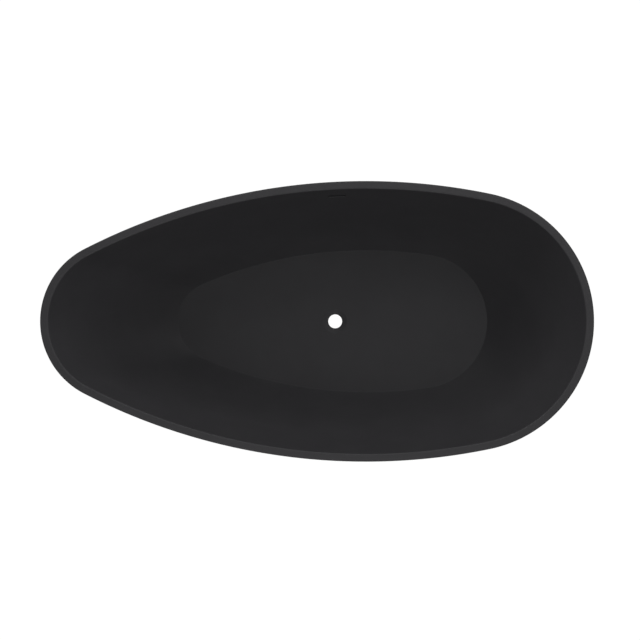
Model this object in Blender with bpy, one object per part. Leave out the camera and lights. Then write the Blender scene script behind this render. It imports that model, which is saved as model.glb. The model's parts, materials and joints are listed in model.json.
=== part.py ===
"""Freestanding egg-shaped bathtub: a cast bowl and an outer shell bonded at the rim, on a steel frame.

Frame: +X towards the wide end, +Y towards the side with the overflow slot, +Z up. The origin is on the
ground, below the middle of the rim. Everything is in metres.
"""

import math

import bmesh
import bpy
from mathutils import Matrix, Vector

# Overall size
LENGTH = 1.800
WIDTH = 0.912
HEIGHT = 0.560
GAP = 0.0003  # between pieces that touch

# Rim outline, seen from above: a round wide end, a round narrow end and two long arcs tangent to both
RIM_WIDE_RADIUS = 0.4237
RIM_NARROW_RADIUS = 0.2645
RIM_WIDTH = 0.025
RIM_OUTER_EDGE = 0.0015
RIM_INNER_EDGE = 0.003
FLANGE_THICKNESS = 0.012

# Bowl
FLOOR_WIDE_X = 0.5525
FLOOR_NARROW_X = -0.4522
FLOOR_HALF_WIDTH = 0.2305
FLOOR_WIDE_RADIUS = 0.2173
FLOOR_NARROW_RADIUS = 0.1305
CREASE_Z = 0.115  # where the wall meets the floor
FLOOR_FALL = 0.005  # from there to the drain recess
BOWL_WALL = 0.011
BOWL_UNDERSIDE_Z = 0.098
WALL_STEEPNESS = 0.650  # the drop that the wall's slope at the rim would give over its whole run
WALL_STEPS = 7

# Drain
DRAIN_X = 0.0588
DRAIN_HOLE_RADIUS = 0.0225
DRAIN_RECESS_RADIUS = 0.0385
DRAIN_RECESS_DEPTH = 0.005

# Overflow slot, in the +Y wall
SLOT_X = 0.065
SLOT_WIDTH = 0.057
SLOT_HEIGHT = 0.016
SLOT_SHARE = 0.11  # how far down the wall it lies, as a share of the wall's run

# Outer shell
GROUND_GAP = 0.008
SHELL_WALL = 0.010
SHELL_LIP = 0.045
BASE_WIDE_X = 0.750
BASE_NARROW_X = -0.720
BASE_HALF_WIDTH = 0.344
BASE_WIDE_RADIUS = 0.300
BASE_NARROW_RADIUS = 0.190
SHELL_CURVE = 1.63  # 1 is a straight taper; more keeps the upper part upright
SHELL_STEPS = 7

# Adhesive bead in the corner under the rim flange
BOND_OUTSIDE = 0.0115  # from the outline
BOND_INSIDE = 0.0165
BOND_HEIGHT = 0.008

# Floor board and frame
BOARD_THICKNESS = 0.015
BOARD_INSET = 0.012
BOARD_HOLE_RADIUS = 0.056
RAIL_SIZE = 0.025
RAIL_WALL = 0.002
RAIL_CORNER = 0.003
RAIL_Y = 0.140
RAIL_LOW_X = -0.450
RAIL_HIGH_X = 0.500
CAP_THICKNESS = 0.003
CAP_PLUG = 0.012
CHANNEL_WIDTH = 0.040
CHANNEL_HEIGHT = 0.020
CHANNEL_WALL = 0.002
CHANNEL_X = (-0.420, -0.110, 0.200, 0.470)
CHANNEL_CLEARANCE = 0.036  # from its ends to the shell's base outline

# Levelling feet
FOOT_INSET = 0.085  # from the shell's base outline to a corner foot
PAD_RADIUS = 0.025
PAD_TOP_RADIUS = 0.019
PAD_HEIGHT = 0.012
PAD_SOCKET = 0.0045
STUD_RADIUS = 0.005
STUD_PIN = 0.004
STUD_FLATS = 0.013
STUD_COLLAR = 0.006
STUD_CHAMFER = 0.001
STUD_TOP_Z = 0.072
NUT_FLATS = 0.017
LOCK_NUT_HEIGHT = 0.006
WELD_NUT_RADIUS = 0.010
WELD_NUT_HEIGHT = 0.008

# Screws
SCREW_RADIUS = 0.0018
SCREW_HEAD_RADIUS = 0.0045
SCREW_HEAD_HEIGHT = 0.0026
BITE_WALL = 0.006  # how far a screw goes into the bowl's wall
BITE_LIP = 0.007
BITE_BOARD = 0.010

# Overflow duct, lying on the back of the bowl's wall
SEAL_THICKNESS = 0.002
SEAL_OPENING = (0.062, 0.021)
SEAL_SIZE = (0.076, 0.036)
EAR_SIZE = (0.106, 0.044)
EAR_CORNER = 0.006
EAR_THICKNESS = 0.002
EAR_SCREW = 0.046
DUCT_WALL = 0.0025
DUCT_CORNER = 0.004
DUCT_SETBACK = 0.0005  # of its flat front behind the ears' front
DUCT_STATIONS = (  # distance below the slot, width, depth
    (-0.020, 0.080, 0.0125),
    (0.030, 0.080, 0.0135),
    (0.085, 0.056, 0.0210),
)
SPIGOT_DOWN = 0.130  # from the slot, along the wall
SPIGOT_OUT = 0.0172  # from the wall's back
SPIGOT_SHOULDER = 0.004
SPIGOT_RADIUS = 0.0125
SPIGOT_BORE = 0.0100
SPIGOT_LENGTH = 0.028
SPIGOT_SIDES = 16

# Overflow hose
HOSE_RADIUS = 0.016
HOSE_BORE = 0.0132
HOSE_SIDES = 12
HOSE_LEAN = math.radians(20)  # from upright, between its two bends
HOSE_UPPER_BEND = 0.135  # radius
HOSE_LOWER_BEND = 0.160
HOSE_STEPS = (3, 3, 9)  # round its upper bend, along its leaning stretch and round its lower bend
CLAMP_WIDTH = 0.009
CLAMP_THICKNESS = 0.0008
CLAMP_SCREW_BOX = 0.006
CLAMP_SETBACK = 0.008  # from the hose's end
CLIP_Y = 0.168
CLIP_WIDTH = 0.014
CLIP_THICKNESS = 0.002
CLIP_FOOT = 0.026
CLIP_SCREW = 0.016  # from the hose's axis

# Overflow chamber under the drain
CHAMBER_RADIUS = 0.048
CHAMBER_WALL = 0.004
CHAMBER_BOTTOM_Z = 0.020
CHAMBER_OUTLET_RADIUS = 0.027
CHAMBER_RIM_RADIUS = 0.054
CHAMBER_RIM_THICKNESS = 0.003
CHAMBER_FLANGE_RADIUS = 0.074
CHAMBER_FLANGE_THICKNESS = 0.005
CHAMBER_SPIGOT_Z = 0.038
CHAMBER_SCREW_CIRCLE = 0.065
CHAMBER_SIDES = 24
GASKET_THICKNESS = 0.002

# Brackets from the channels to the shell's lip
BRACKET_WIDTH = 0.024
BRACKET_THICKNESS = 0.003
BRACKET_TAB = 0.028
BRACKET_FOOT = 0.017

# Levels that follow from the sizes above
FLANGE_UNDERSIDE_Z = HEIGHT - FLANGE_THICKNESS
BOARD_TOP_Z = BOWL_UNDERSIDE_Z - GAP
BOARD_BOTTOM_Z = BOARD_TOP_Z - BOARD_THICKNESS
RAIL_TOP_Z = BOARD_BOTTOM_Z - GAP
RAIL_BOTTOM_Z = RAIL_TOP_Z - RAIL_SIZE
CHANNEL_TOP_Z = RAIL_BOTTOM_Z - GAP
WELD_NUT_TOP_Z = CHANNEL_TOP_Z - CHANNEL_WALL - GAP
LOCK_NUT_TOP_Z = WELD_NUT_TOP_Z - WELD_NUT_HEIGHT - GAP
LIP_TOP_Z = GROUND_GAP + SHELL_WALL
SHELL_TOP_Z = FLANGE_UNDERSIDE_Z - GAP
CHAMBER_TOP_Z = BOWL_UNDERSIDE_Z - GASKET_THICKNESS - 2 * GAP
CHAMBER_FLANGE_TOP_Z = BOARD_BOTTOM_Z - GAP
WALL_EASING = WALL_STEEPNESS - (HEIGHT - CREASE_Z)
DUCT_FRONT = SEAL_THICKNESS + 2 * GAP

FINISHES = {  # base colour, roughness, metallic
    "cast_black": ((0.040, 0.040, 0.042), 0.55, 0.0),
    "adhesive": ((0.060, 0.060, 0.060), 0.70, 0.0),
    "plywood": ((0.420, 0.280, 0.150), 0.75, 0.0),
    "galvanised_steel": ((0.550, 0.560, 0.570), 0.40, 1.0),
    "zinc_plated_steel": ((0.700, 0.690, 0.650), 0.30, 1.0),
    "black_rubber": ((0.020, 0.020, 0.020), 0.85, 0.0),
    "black_plastic": ((0.030, 0.030, 0.030), 0.45, 0.0),
    "grey_plastic": ((0.350, 0.360, 0.370), 0.45, 0.0),
}


def direction(angle):
    return Vector((math.cos(angle), math.sin(angle)))


def bisect(low, high, is_before):
    """The value between low and high up to which is_before holds."""
    for _ in range(50):
        middle = (low + high) / 2
        if is_before(middle):
            low = middle
        else:
            high = middle
    return middle


class Egg:
    """A convex outline of four tangent arcs, symmetric about the X axis."""

    def __init__(self, wide_x, narrow_x, half_width, wide_radius, narrow_radius):
        self.half_width = half_width
        self.wide_radius = wide_radius
        self.narrow_radius = narrow_radius
        self.wide_centre = wide_x - wide_radius
        self.narrow_centre = narrow_x + narrow_radius
        self.side_radius = bisect(half_width * 1.001, half_width * 100, self._side_is_too_round)
        self.side_depth = self.side_radius - half_width
        self.side_centre = self.wide_centre - self._side_span(self.side_radius, wide_radius)
        self.wide_angle = math.atan2(self.side_depth, self.wide_centre - self.side_centre)
        self.narrow_angle = math.atan2(self.side_depth, self.narrow_centre - self.side_centre)

    def _side_span(self, side_radius, end_radius):
        """The distance along X from a side arc's centre to the centre of an end arc tangent to it."""
        return math.sqrt(
            (self.half_width - end_radius) * (2 * side_radius - end_radius - self.half_width)
        )

    def _side_is_too_round(self, side_radius):
        ends = (self.wide_radius, self.narrow_radius)
        spans = sum(self._side_span(side_radius, end_radius) for end_radius in ends)
        return spans < self.wide_centre - self.narrow_centre

    def point(self, angle, inset=0.0):
        """The point whose outward normal is at this angle from +X, moved inwards by inset."""
        lean = math.acos(max(-1.0, min(1.0, math.cos(angle))))
        if lean <= self.wide_angle:
            centre, radius = Vector((self.wide_centre, 0)), self.wide_radius
        elif lean >= self.narrow_angle:
            centre, radius = Vector((self.narrow_centre, 0)), self.narrow_radius
        else:
            side = math.copysign(self.side_depth, -math.sin(angle))
            centre, radius = Vector((self.side_centre, side)), self.side_radius
        return centre + (radius - inset) * direction(angle)

    def half_width_at(self, x):
        return self.point(bisect(0.0, math.pi, lambda angle: self.point(angle).x > x)).y


RIM = Egg(LENGTH / 2, -LENGTH / 2, WIDTH / 2, RIM_WIDE_RADIUS, RIM_NARROW_RADIUS)
FLOOR = Egg(FLOOR_WIDE_X, FLOOR_NARROW_X, FLOOR_HALF_WIDTH, FLOOR_WIDE_RADIUS, FLOOR_NARROW_RADIUS)
BASE = Egg(BASE_WIDE_X, BASE_NARROW_X, BASE_HALF_WIDTH, BASE_WIDE_RADIUS, BASE_NARROW_RADIUS)


def outline_angles():
    """Normal angles round an outline, with the four extremes among them."""
    stretches = (
        (0.0, RIM.wide_angle, 12),
        (RIM.wide_angle, math.pi / 2, 4),
        (math.pi / 2, RIM.narrow_angle, 10),
        (RIM.narrow_angle, math.pi, 10),
    )
    half = [low + (high - low) * k / steps for low, high, steps in stretches for k in range(steps)]
    return half + [math.pi] + [2 * math.pi - angle for angle in reversed(half[1:])]


ANGLES = outline_angles()


def level(outline, z):
    """A level ring of points from a function of the normal angle."""
    return [Vector((*outline(angle), z)) for angle in ANGLES]


def wall_point(angle, share, depth=0.0):
    """A point in the bowl's wall: share runs from rim to floor, depth goes in from the wet face."""
    start, end = RIM.point(angle, RIM_WIDTH), FLOOR.point(angle)
    run = (start - end).dot(direction(angle))
    slope = WALL_STEEPNESS - 2 * WALL_EASING * share
    back = Vector((*(slope * direction(angle)), -run)).normalized()
    drop = WALL_STEEPNESS * share - WALL_EASING * share**2
    return Vector((*start.lerp(end, share), HEIGHT - drop)) + depth * back


def shell_point(angle, share, depth=0.0):
    """A point in the shell's wall: share runs down its height, depth goes in, square to the wall."""
    start, end = RIM.point(angle), BASE.point(angle)
    run = (start - end).dot(direction(angle))
    height = HEIGHT - GROUND_GAP
    slope = run * SHELL_CURVE * share ** (SHELL_CURVE - 1) / height
    face = start.lerp(end, share**SHELL_CURVE) - depth * math.hypot(1, slope) * direction(angle)
    return Vector((*face, HEIGHT - share * height))


def axes(origin, along, across, out):
    """A frame at a point with these unit vectors as its X, Y and Z."""
    return Matrix.Translation(origin) @ Matrix((along, across, out)).transposed().to_4x4()


def wall_frame(angle, share):
    """Axes on the back of the bowl's wall: X level along it, Y up its slope, Z straight out of it."""
    origin = wall_point(angle, share, BOWL_WALL)
    out = (origin - wall_point(angle, share)).normalized()
    along = Vector((-math.sin(angle), math.cos(angle), 0))
    return axes(origin, along, out.cross(along), out)


SLOT_ANGLE = bisect(0.0, math.pi, lambda angle: wall_point(angle, SLOT_SHARE).x > SLOT_X)
SLOT_FRAME = wall_frame(SLOT_ANGLE, SLOT_SHARE)


# Mesh helpers


def loft(bm, rings, wrap):
    """Joins rings of points with quads; the ends are filled, or joined to each other if wrap is set."""
    rows = [[bm.verts.new(point) for point in ring] for ring in rings]
    pairs = list(zip(rows, rows[1:]))
    if wrap:
        pairs.append((rows[-1], rows[0]))
    for lower, upper in pairs:
        for k, corner in enumerate(lower):
            bm.faces.new((corner, lower[k - 1], upper[k - 1], upper[k]))
    if not wrap:
        bm.faces.new(rows[0])
        bm.faces.new(rows[-1])


def finish_material(finish):
    material = bpy.data.materials.get(finish)
    if material is None:
        colour, roughness, metallic = FINISHES[finish]
        material = bpy.data.materials.new(finish)
        material.use_nodes = True
        shader = material.node_tree.nodes["Principled BSDF"]
        shader.inputs["Base Color"].default_value = (*colour, 1.0)
        shader.inputs["Roughness"].default_value = roughness
        shader.inputs["Metallic"].default_value = metallic
    return material


def add_loft(name, rings, finish, wrap=False, origin=(0, 0, 0)):
    """An object of one lofted body, whose own origin is at the given point."""
    bm = bmesh.new()
    loft(bm, rings, wrap)
    bmesh.ops.recalc_face_normals(bm, faces=bm.faces)
    bmesh.ops.translate(bm, verts=bm.verts, vec=-Vector(origin))
    mesh = bpy.data.meshes.new(name)
    bm.to_mesh(mesh)
    bm.free()
    mesh.shade_smooth()
    mesh.set_sharp_from_angle(angle=math.radians(30))
    mesh.materials.append(finish_material(finish))
    thing = bpy.data.objects.new(name, mesh)
    thing.location = origin
    bpy.context.scene.collection.objects.link(thing)
    return thing


def combine(thing, name, rings, operation="DIFFERENCE", wrap=False):
    """Cuts a lofted shape out of an object, or joins it on, with a Boolean modifier."""
    tool = add_loft(f"{thing.name}_{name}", rings, "grey_plastic", wrap)
    tool.hide_render = True
    tool.display_type = "WIRE"
    boolean = thing.modifiers.new(name, "BOOLEAN")
    boolean.operation = operation
    boolean.solver = "EXACT"
    boolean.object = tool


def rounded_rectangle(width, depth, radius):
    """Sixteen points round a rectangle with round corners, about the origin."""
    points = []
    for corner in range(4):
        middle = math.radians(45 + 90 * corner)
        centre = Vector((
            math.copysign(width / 2 - radius, math.cos(middle)),
            math.copysign(depth / 2 - radius, math.sin(middle)),
        ))
        turns = [math.radians(90 * corner + 22.5 * (k + 0.5)) for k in range(4)]
        points += [centre + radius * direction(turn) for turn in turns]
    return points


def circle(radius, sides, turn=0.0):
    return [radius * direction(2 * math.pi * (k + turn) / sides) for k in range(sides)]


def hexagon(flats):
    """A hexagon given by its corners and the middles of its sides."""
    radii = (flats / math.sqrt(3), flats / 2)
    return [radii[k % 2] * direction(math.radians(30 * k)) for k in range(12)]


def stack(frame, sections):
    """Rings in a frame, from (points, height) pairs along its Z axis."""
    return [[frame @ Vector((*point, height)) for point in points] for points, height in sections]


def turned(frame, profile, sides, turn=0.0):
    """Rings in a frame for a turned shape, from (radius, height) pairs along its Z axis."""
    return stack(frame, [(circle(radius, sides, turn), height) for radius, height in profile])


def upright(x, y, z=0.0):
    return Matrix.Translation((x, y, z))


def face_down(x, y, z):
    """A frame whose Z points down."""
    return upright(x, y, z) @ Matrix.Rotation(math.pi, 4, "X")


def along_x(x, y, z, sense=1):
    """A frame whose Z points to +X, or to -X."""
    return upright(x, y, z) @ Matrix.Rotation(sense * math.pi / 2, 4, "Y")


def along_y(x, y, z):
    """A frame whose X stays, whose Y points down and whose Z points to +Y."""
    return upright(x, y, z) @ Matrix.Rotation(-math.pi / 2, 4, "X")


# Bowl and shell


def spread(low, high, steps):
    return [low + (high - low) * k / steps for k in range(steps + 1)]


def flange_corner(angle):
    """Where the back of the bowl's wall meets the underside of its flange."""
    def is_above(share):
        return wall_point(angle, share, BOWL_WALL).z > FLANGE_UNDERSIDE_Z

    corner = wall_point(angle, bisect(0.0, 0.1, is_above), BOWL_WALL)
    return Vector((*corner.xy, FLANGE_UNDERSIDE_Z))


def round_drain(radius):
    """An outline round the drain's axis."""
    return lambda angle: Vector((DRAIN_X, 0)) + radius * direction(angle)


def bowl_rings():
    def halfway_to_drain(angle):
        return FLOOR.point(angle).lerp(round_drain(DRAIN_RECESS_RADIUS)(angle), 0.5)

    shares = spread(RIM_INNER_EDGE / WALL_STEEPNESS, 1.0, WALL_STEPS)
    recess_z = CREASE_Z - FLOOR_FALL
    rings = [
        level(RIM.point, FLANGE_UNDERSIDE_Z),
        level(RIM.point, HEIGHT - RIM_OUTER_EDGE),
        level(lambda angle: RIM.point(angle, RIM_OUTER_EDGE), HEIGHT),
        level(lambda angle: RIM.point(angle, RIM_WIDTH - RIM_INNER_EDGE), HEIGHT),
    ]
    rings += [[wall_point(angle, share) for angle in ANGLES] for share in shares]
    rings += [
        level(halfway_to_drain, CREASE_Z - FLOOR_FALL / 2),
        level(round_drain(DRAIN_RECESS_RADIUS), recess_z),
        level(round_drain(DRAIN_HOLE_RADIUS), recess_z - DRAIN_RECESS_DEPTH),
        level(round_drain(DRAIN_HOLE_RADIUS), BOWL_UNDERSIDE_Z),
        level(lambda angle: FLOOR.point(angle, -BOWL_WALL / 2), BOWL_UNDERSIDE_Z),
    ]
    rings += [[wall_point(angle, share, BOWL_WALL) for angle in ANGLES] for share in reversed(shares[1:])]
    rings.append([flange_corner(angle) for angle in ANGLES])
    return rings


def add_bowl():
    bowl = add_loft("bowl", bowl_rings(), "cast_black", wrap=True)
    slot = rounded_rectangle(SLOT_WIDTH, SLOT_HEIGHT, SLOT_HEIGHT / 2)
    reach = 2 * BOWL_WALL
    combine(bowl, "slot", stack(SLOT_FRAME, [(slot, -reach), (slot, reach)]))
    return bowl


def add_outer_shell():
    height = HEIGHT - GROUND_GAP
    top, lip = (HEIGHT - SHELL_TOP_Z) / height, (HEIGHT - LIP_TOP_Z) / height
    rings = [[shell_point(angle, share) for angle in ANGLES] for share in spread(top, 1.0, SHELL_STEPS)]
    rings += [level(lambda angle: BASE.point(angle, SHELL_LIP), z) for z in (GROUND_GAP, LIP_TOP_Z)]
    rings += [
        [shell_point(angle, share, SHELL_WALL) for angle in ANGLES]
        for share in spread(lip, top, SHELL_STEPS)
    ]
    return add_loft("outer_shell", rings, "cast_black", wrap=True)


def add_rim_bond():
    top, bottom = SHELL_TOP_Z, SHELL_TOP_Z - BOND_HEIGHT
    corners = (
        (BOND_OUTSIDE, bottom), (BOND_OUTSIDE, top), (BOND_INSIDE, top),
        ((BOND_OUTSIDE + BOND_INSIDE) / 2, bottom),
    )
    rings = [level(lambda angle: RIM.point(angle, inset), z) for inset, z in corners]
    add_loft("rim_bond", rings, "adhesive", wrap=True)


# Screws


def fasten(name, frame, length, *pieces):
    """A pan-head screw, its head on the frame's XY plane and its shank below, and its hole in each piece."""
    profile = [
        (SCREW_RADIUS / 2, -length),
        (SCREW_RADIUS, SCREW_RADIUS - length),
        (SCREW_RADIUS, GAP),
        (SCREW_HEAD_RADIUS, GAP),
        (SCREW_HEAD_RADIUS, SCREW_HEAD_HEIGHT / 2),
        (SCREW_HEAD_RADIUS * 0.7, SCREW_HEAD_HEIGHT),
    ]
    add_loft(name, turned(frame, profile, 12), "zinc_plated_steel")
    hole = [(SCREW_RADIUS + GAP, -length - GAP), (SCREW_RADIUS + GAP, SCREW_HEAD_HEIGHT)]
    for piece in pieces:
        combine(piece, f"{name}_hole", turned(frame, hole, 12))


# Floor board and frame


def add_floor_board():
    rings = [
        level(round_drain(BOARD_HOLE_RADIUS), BOARD_BOTTOM_Z),
        level(lambda angle: FLOOR.point(angle, BOARD_INSET), BOARD_BOTTOM_Z),
        level(lambda angle: FLOOR.point(angle, BOARD_INSET), BOARD_TOP_Z),
        level(round_drain(BOARD_HOLE_RADIUS), BOARD_TOP_Z),
    ]
    return add_loft("floor_board", rings, "plywood", wrap=True)


def add_rail(number, y):
    """A square steel tube along X with a plastic plug in each end."""
    middle_z = RAIL_BOTTOM_Z + RAIL_SIZE / 2
    bore, length = RAIL_SIZE - 2 * RAIL_WALL, RAIL_HIGH_X - RAIL_LOW_X
    outside = rounded_rectangle(RAIL_SIZE, RAIL_SIZE, RAIL_CORNER)
    inside = rounded_rectangle(bore, bore, RAIL_CORNER - RAIL_WALL)
    plug = rounded_rectangle(bore - 2 * GAP, bore - 2 * GAP, RAIL_CORNER - RAIL_WALL)
    high, low = along_x(RAIL_HIGH_X, y, middle_z), along_x(RAIL_LOW_X, y, middle_z, -1)
    tube = [(outside, -length), (outside, 0), (inside, 0), (inside, -length)]
    add_loft(f"frame_rail_{number}", stack(high, tube), "galvanised_steel", wrap=True)
    cap = [(plug, -CAP_PLUG), (plug, GAP), (outside, GAP), (outside, GAP + CAP_THICKNESS)]
    add_loft(f"rail_cap_{2 * number - 1}", stack(low, cap), "black_plastic")
    add_loft(f"rail_cap_{2 * number}", stack(high, cap), "black_plastic")


def channel_end(x):
    """Half the length of the cross channel at this X, which ends over the shell's lip."""
    nearest = min(BASE.half_width_at(x + side * BRACKET_WIDTH / 2) for side in (-1, 1))
    return nearest - CHANNEL_CLEARANCE


def add_channel(number, x):
    """A steel channel across the bath, open below, with a hole in its web for each foot's stud."""
    half, inner = CHANNEL_WIDTH / 2, CHANNEL_WIDTH / 2 - CHANNEL_WALL
    section = (
        (-half, 0), (half, 0), (half, CHANNEL_HEIGHT), (inner, CHANNEL_HEIGHT),
        (inner, CHANNEL_WALL), (-inner, CHANNEL_WALL), (-inner, CHANNEL_HEIGHT), (-half, CHANNEL_HEIGHT),
    )
    reach = channel_end(x)
    rings = stack(along_y(x, 0, CHANNEL_TOP_Z), [(section, -reach), (section, reach)])
    channel = add_loft(f"cross_channel_{number}", rings, "galvanised_steel")
    hole = [(STUD_RADIUS + 2 * GAP, -2 * CHANNEL_WALL), (STUD_RADIUS + 2 * GAP, CHANNEL_WALL)]
    for k, (foot_x, foot_y) in enumerate(foot_places()):
        if foot_x == x:
            combine(channel, f"stud_hole_{k}", turned(upright(foot_x, foot_y, CHANNEL_TOP_Z), hole, 12))


def add_bracket(number, x, side, shell):
    """A bent strip from a channel's end down to the shell's lip, with its screw."""
    end = channel_end(x)
    near, far = end + GAP, end + GAP + BRACKET_THICKNESS
    top, foot = CHANNEL_TOP_Z + GAP, LIP_TOP_Z + GAP
    corners = (
        (end - BRACKET_TAB, top), (near, top), (near, foot), (far + BRACKET_FOOT, foot),
        (far + BRACKET_FOOT, foot + BRACKET_THICKNESS), (far, foot + BRACKET_THICKNESS),
        (far, top + BRACKET_THICKNESS), (end - BRACKET_TAB, top + BRACKET_THICKNESS),
    )
    section = [(-z, side * y) for y, z in corners]
    rings = stack(along_x(x, 0, 0), [(section, -BRACKET_WIDTH / 2), (section, BRACKET_WIDTH / 2)])
    bracket = add_loft(f"shell_bracket_{number}", rings, "galvanised_steel")
    head = upright(x, side * (far + BRACKET_FOOT / 2), foot + BRACKET_THICKNESS)
    fasten(f"bracket_screw_{number}", head, BRACKET_THICKNESS + GAP + BITE_LIP, bracket, shell)


# Levelling feet


def foot_places():
    """A foot near each corner of the frame, and one in the middle under the narrow half."""
    places = []
    for x in (CHANNEL_X[0], CHANNEL_X[-1]):
        reach = BASE.half_width_at(x) - FOOT_INSET
        places += [(x, -reach), (x, reach)]
    return places + [(CHANNEL_X[1], 0.0)]


def add_foot(number, x, y):
    """A pad and a stud, which move together, and the two nuts on the channel that hold the stud."""
    place, origin = upright(x, y), (x, y, 0)
    pad = [
        (PAD_SOCKET, PAD_HEIGHT / 2), (PAD_SOCKET, PAD_HEIGHT), (PAD_TOP_RADIUS, PAD_HEIGHT),
        (PAD_RADIUS, PAD_HEIGHT / 2), (PAD_RADIUS, 0),
    ]
    add_loft(f"foot_pad_{number}", turned(place, pad, 24), "black_rubber", origin=origin)
    pin, shank, tip = (circle(r, 12) for r in (STUD_PIN, STUD_RADIUS, STUD_RADIUS - STUD_CHAMFER))
    collar, foot = hexagon(STUD_FLATS), PAD_HEIGHT + GAP
    stud = [
        (pin, PAD_HEIGHT / 2 + GAP), (pin, foot), (collar, foot), (collar, foot + STUD_COLLAR),
        (shank, foot + STUD_COLLAR), (shank, STUD_TOP_Z - STUD_CHAMFER), (tip, STUD_TOP_Z),
    ]
    add_loft(f"adjuster_stud_{number}", stack(place, stud), "zinc_plated_steel", origin=origin)
    bore = circle(STUD_RADIUS + GAP, 12)
    nuts = (
        ("weld_nut", circle(WELD_NUT_RADIUS, 12), WELD_NUT_TOP_Z, WELD_NUT_HEIGHT),
        ("lock_nut", hexagon(NUT_FLATS), LOCK_NUT_TOP_Z, LOCK_NUT_HEIGHT),
    )
    for name, outside, top, height in nuts:
        sections = [(outside, top - height), (outside, top), (bore, top), (bore, top - height)]
        add_loft(f"{name}_{number}", stack(place, sections), "zinc_plated_steel", wrap=True)


# Overflow


def spigot_frame():
    """The duct's outlet: X along the wall, Y straight away from it, Z down."""
    along = SLOT_FRAME.to_3x3().col[0]
    away = Vector((*direction(SLOT_ANGLE), 0))
    return axes(SLOT_FRAME @ Vector((0, -SPIGOT_DOWN, SPIGOT_OUT)), along, away, along.cross(away))


def add_overflow_seal():
    outside = rounded_rectangle(*SEAL_SIZE, SEAL_SIZE[1] / 2)
    inside = rounded_rectangle(*SEAL_OPENING, SEAL_OPENING[1] / 2)
    low, high = GAP, GAP + SEAL_THICKNESS
    sections = [(outside, low), (outside, high), (inside, high), (inside, low)]
    add_loft("overflow_seal", stack(SLOT_FRAME, sections), "black_rubber", wrap=True)


def duct_section(down, width, depth, wall):
    """A ring across the duct, inside its outer face by wall."""
    corner = max(DUCT_CORNER - wall, DUCT_WALL / 2)
    points = rounded_rectangle(width - 2 * wall, depth - 2 * wall, corner)
    middle = DUCT_FRONT + DUCT_SETBACK + depth / 2
    return [SLOT_FRAME @ Vector((point.x, -down, middle + point.y)) for point in points]


def add_overflow_duct(bowl):
    """A flat hollow box over the slot's back, narrowing to a round spigot that points down."""
    outlet = spigot_frame()
    shoulder = SPIGOT_RADIUS + SPIGOT_SHOULDER
    spigot = [
        (shoulder, -SPIGOT_SHOULDER), (shoulder, 0), (SPIGOT_RADIUS, 0), (SPIGOT_RADIUS, SPIGOT_LENGTH),
        (SPIGOT_BORE, SPIGOT_LENGTH), (SPIGOT_BORE, -GAP), (shoulder - DUCT_WALL, -SPIGOT_SHOULDER),
    ]
    (top_down, top_width, top_depth), *lower = DUCT_STATIONS
    hollow = [(top_down + DUCT_WALL, top_width, top_depth), *lower]
    rings = [duct_section(*station, 0) for station in DUCT_STATIONS]
    rings += turned(outlet, spigot, SPIGOT_SIDES, turn=0.5)
    rings += [duct_section(*station, DUCT_WALL) for station in reversed(hollow)]
    duct = add_loft("overflow_duct", rings, "black_plastic")
    ears = rounded_rectangle(*EAR_SIZE, EAR_CORNER)
    plate = [(ears, DUCT_FRONT), (ears, DUCT_FRONT + EAR_THICKNESS)]
    combine(duct, "ears", stack(SLOT_FRAME, plate), "UNION")
    mouth = rounded_rectangle(*SEAL_OPENING, SEAL_OPENING[1] / 2)
    cut = [(mouth, 0), (mouth, DUCT_FRONT + DUCT_SETBACK + 2 * DUCT_WALL)]
    combine(duct, "mouth", stack(SLOT_FRAME, cut))
    for number, side in ((1, -1), (2, 1)):
        head = SLOT_FRAME @ upright(side * EAR_SCREW, 0, DUCT_FRONT + EAR_THICKNESS)
        fasten(f"duct_screw_{number}", head, DUCT_FRONT + EAR_THICKNESS + BITE_WALL, duct, bowl)


def add_chamber_gasket():
    inner, outer = CHAMBER_RADIUS - CHAMBER_WALL + GAP, CHAMBER_RIM_RADIUS - GAP
    low, high = CHAMBER_TOP_Z + GAP, CHAMBER_TOP_Z + GAP + GASKET_THICKNESS
    profile = [(inner, low), (outer, low), (outer, high), (inner, high)]
    rings = turned(upright(DRAIN_X, 0), profile, CHAMBER_SIDES)
    add_loft("chamber_gasket", rings, "black_rubber", wrap=True)


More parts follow.
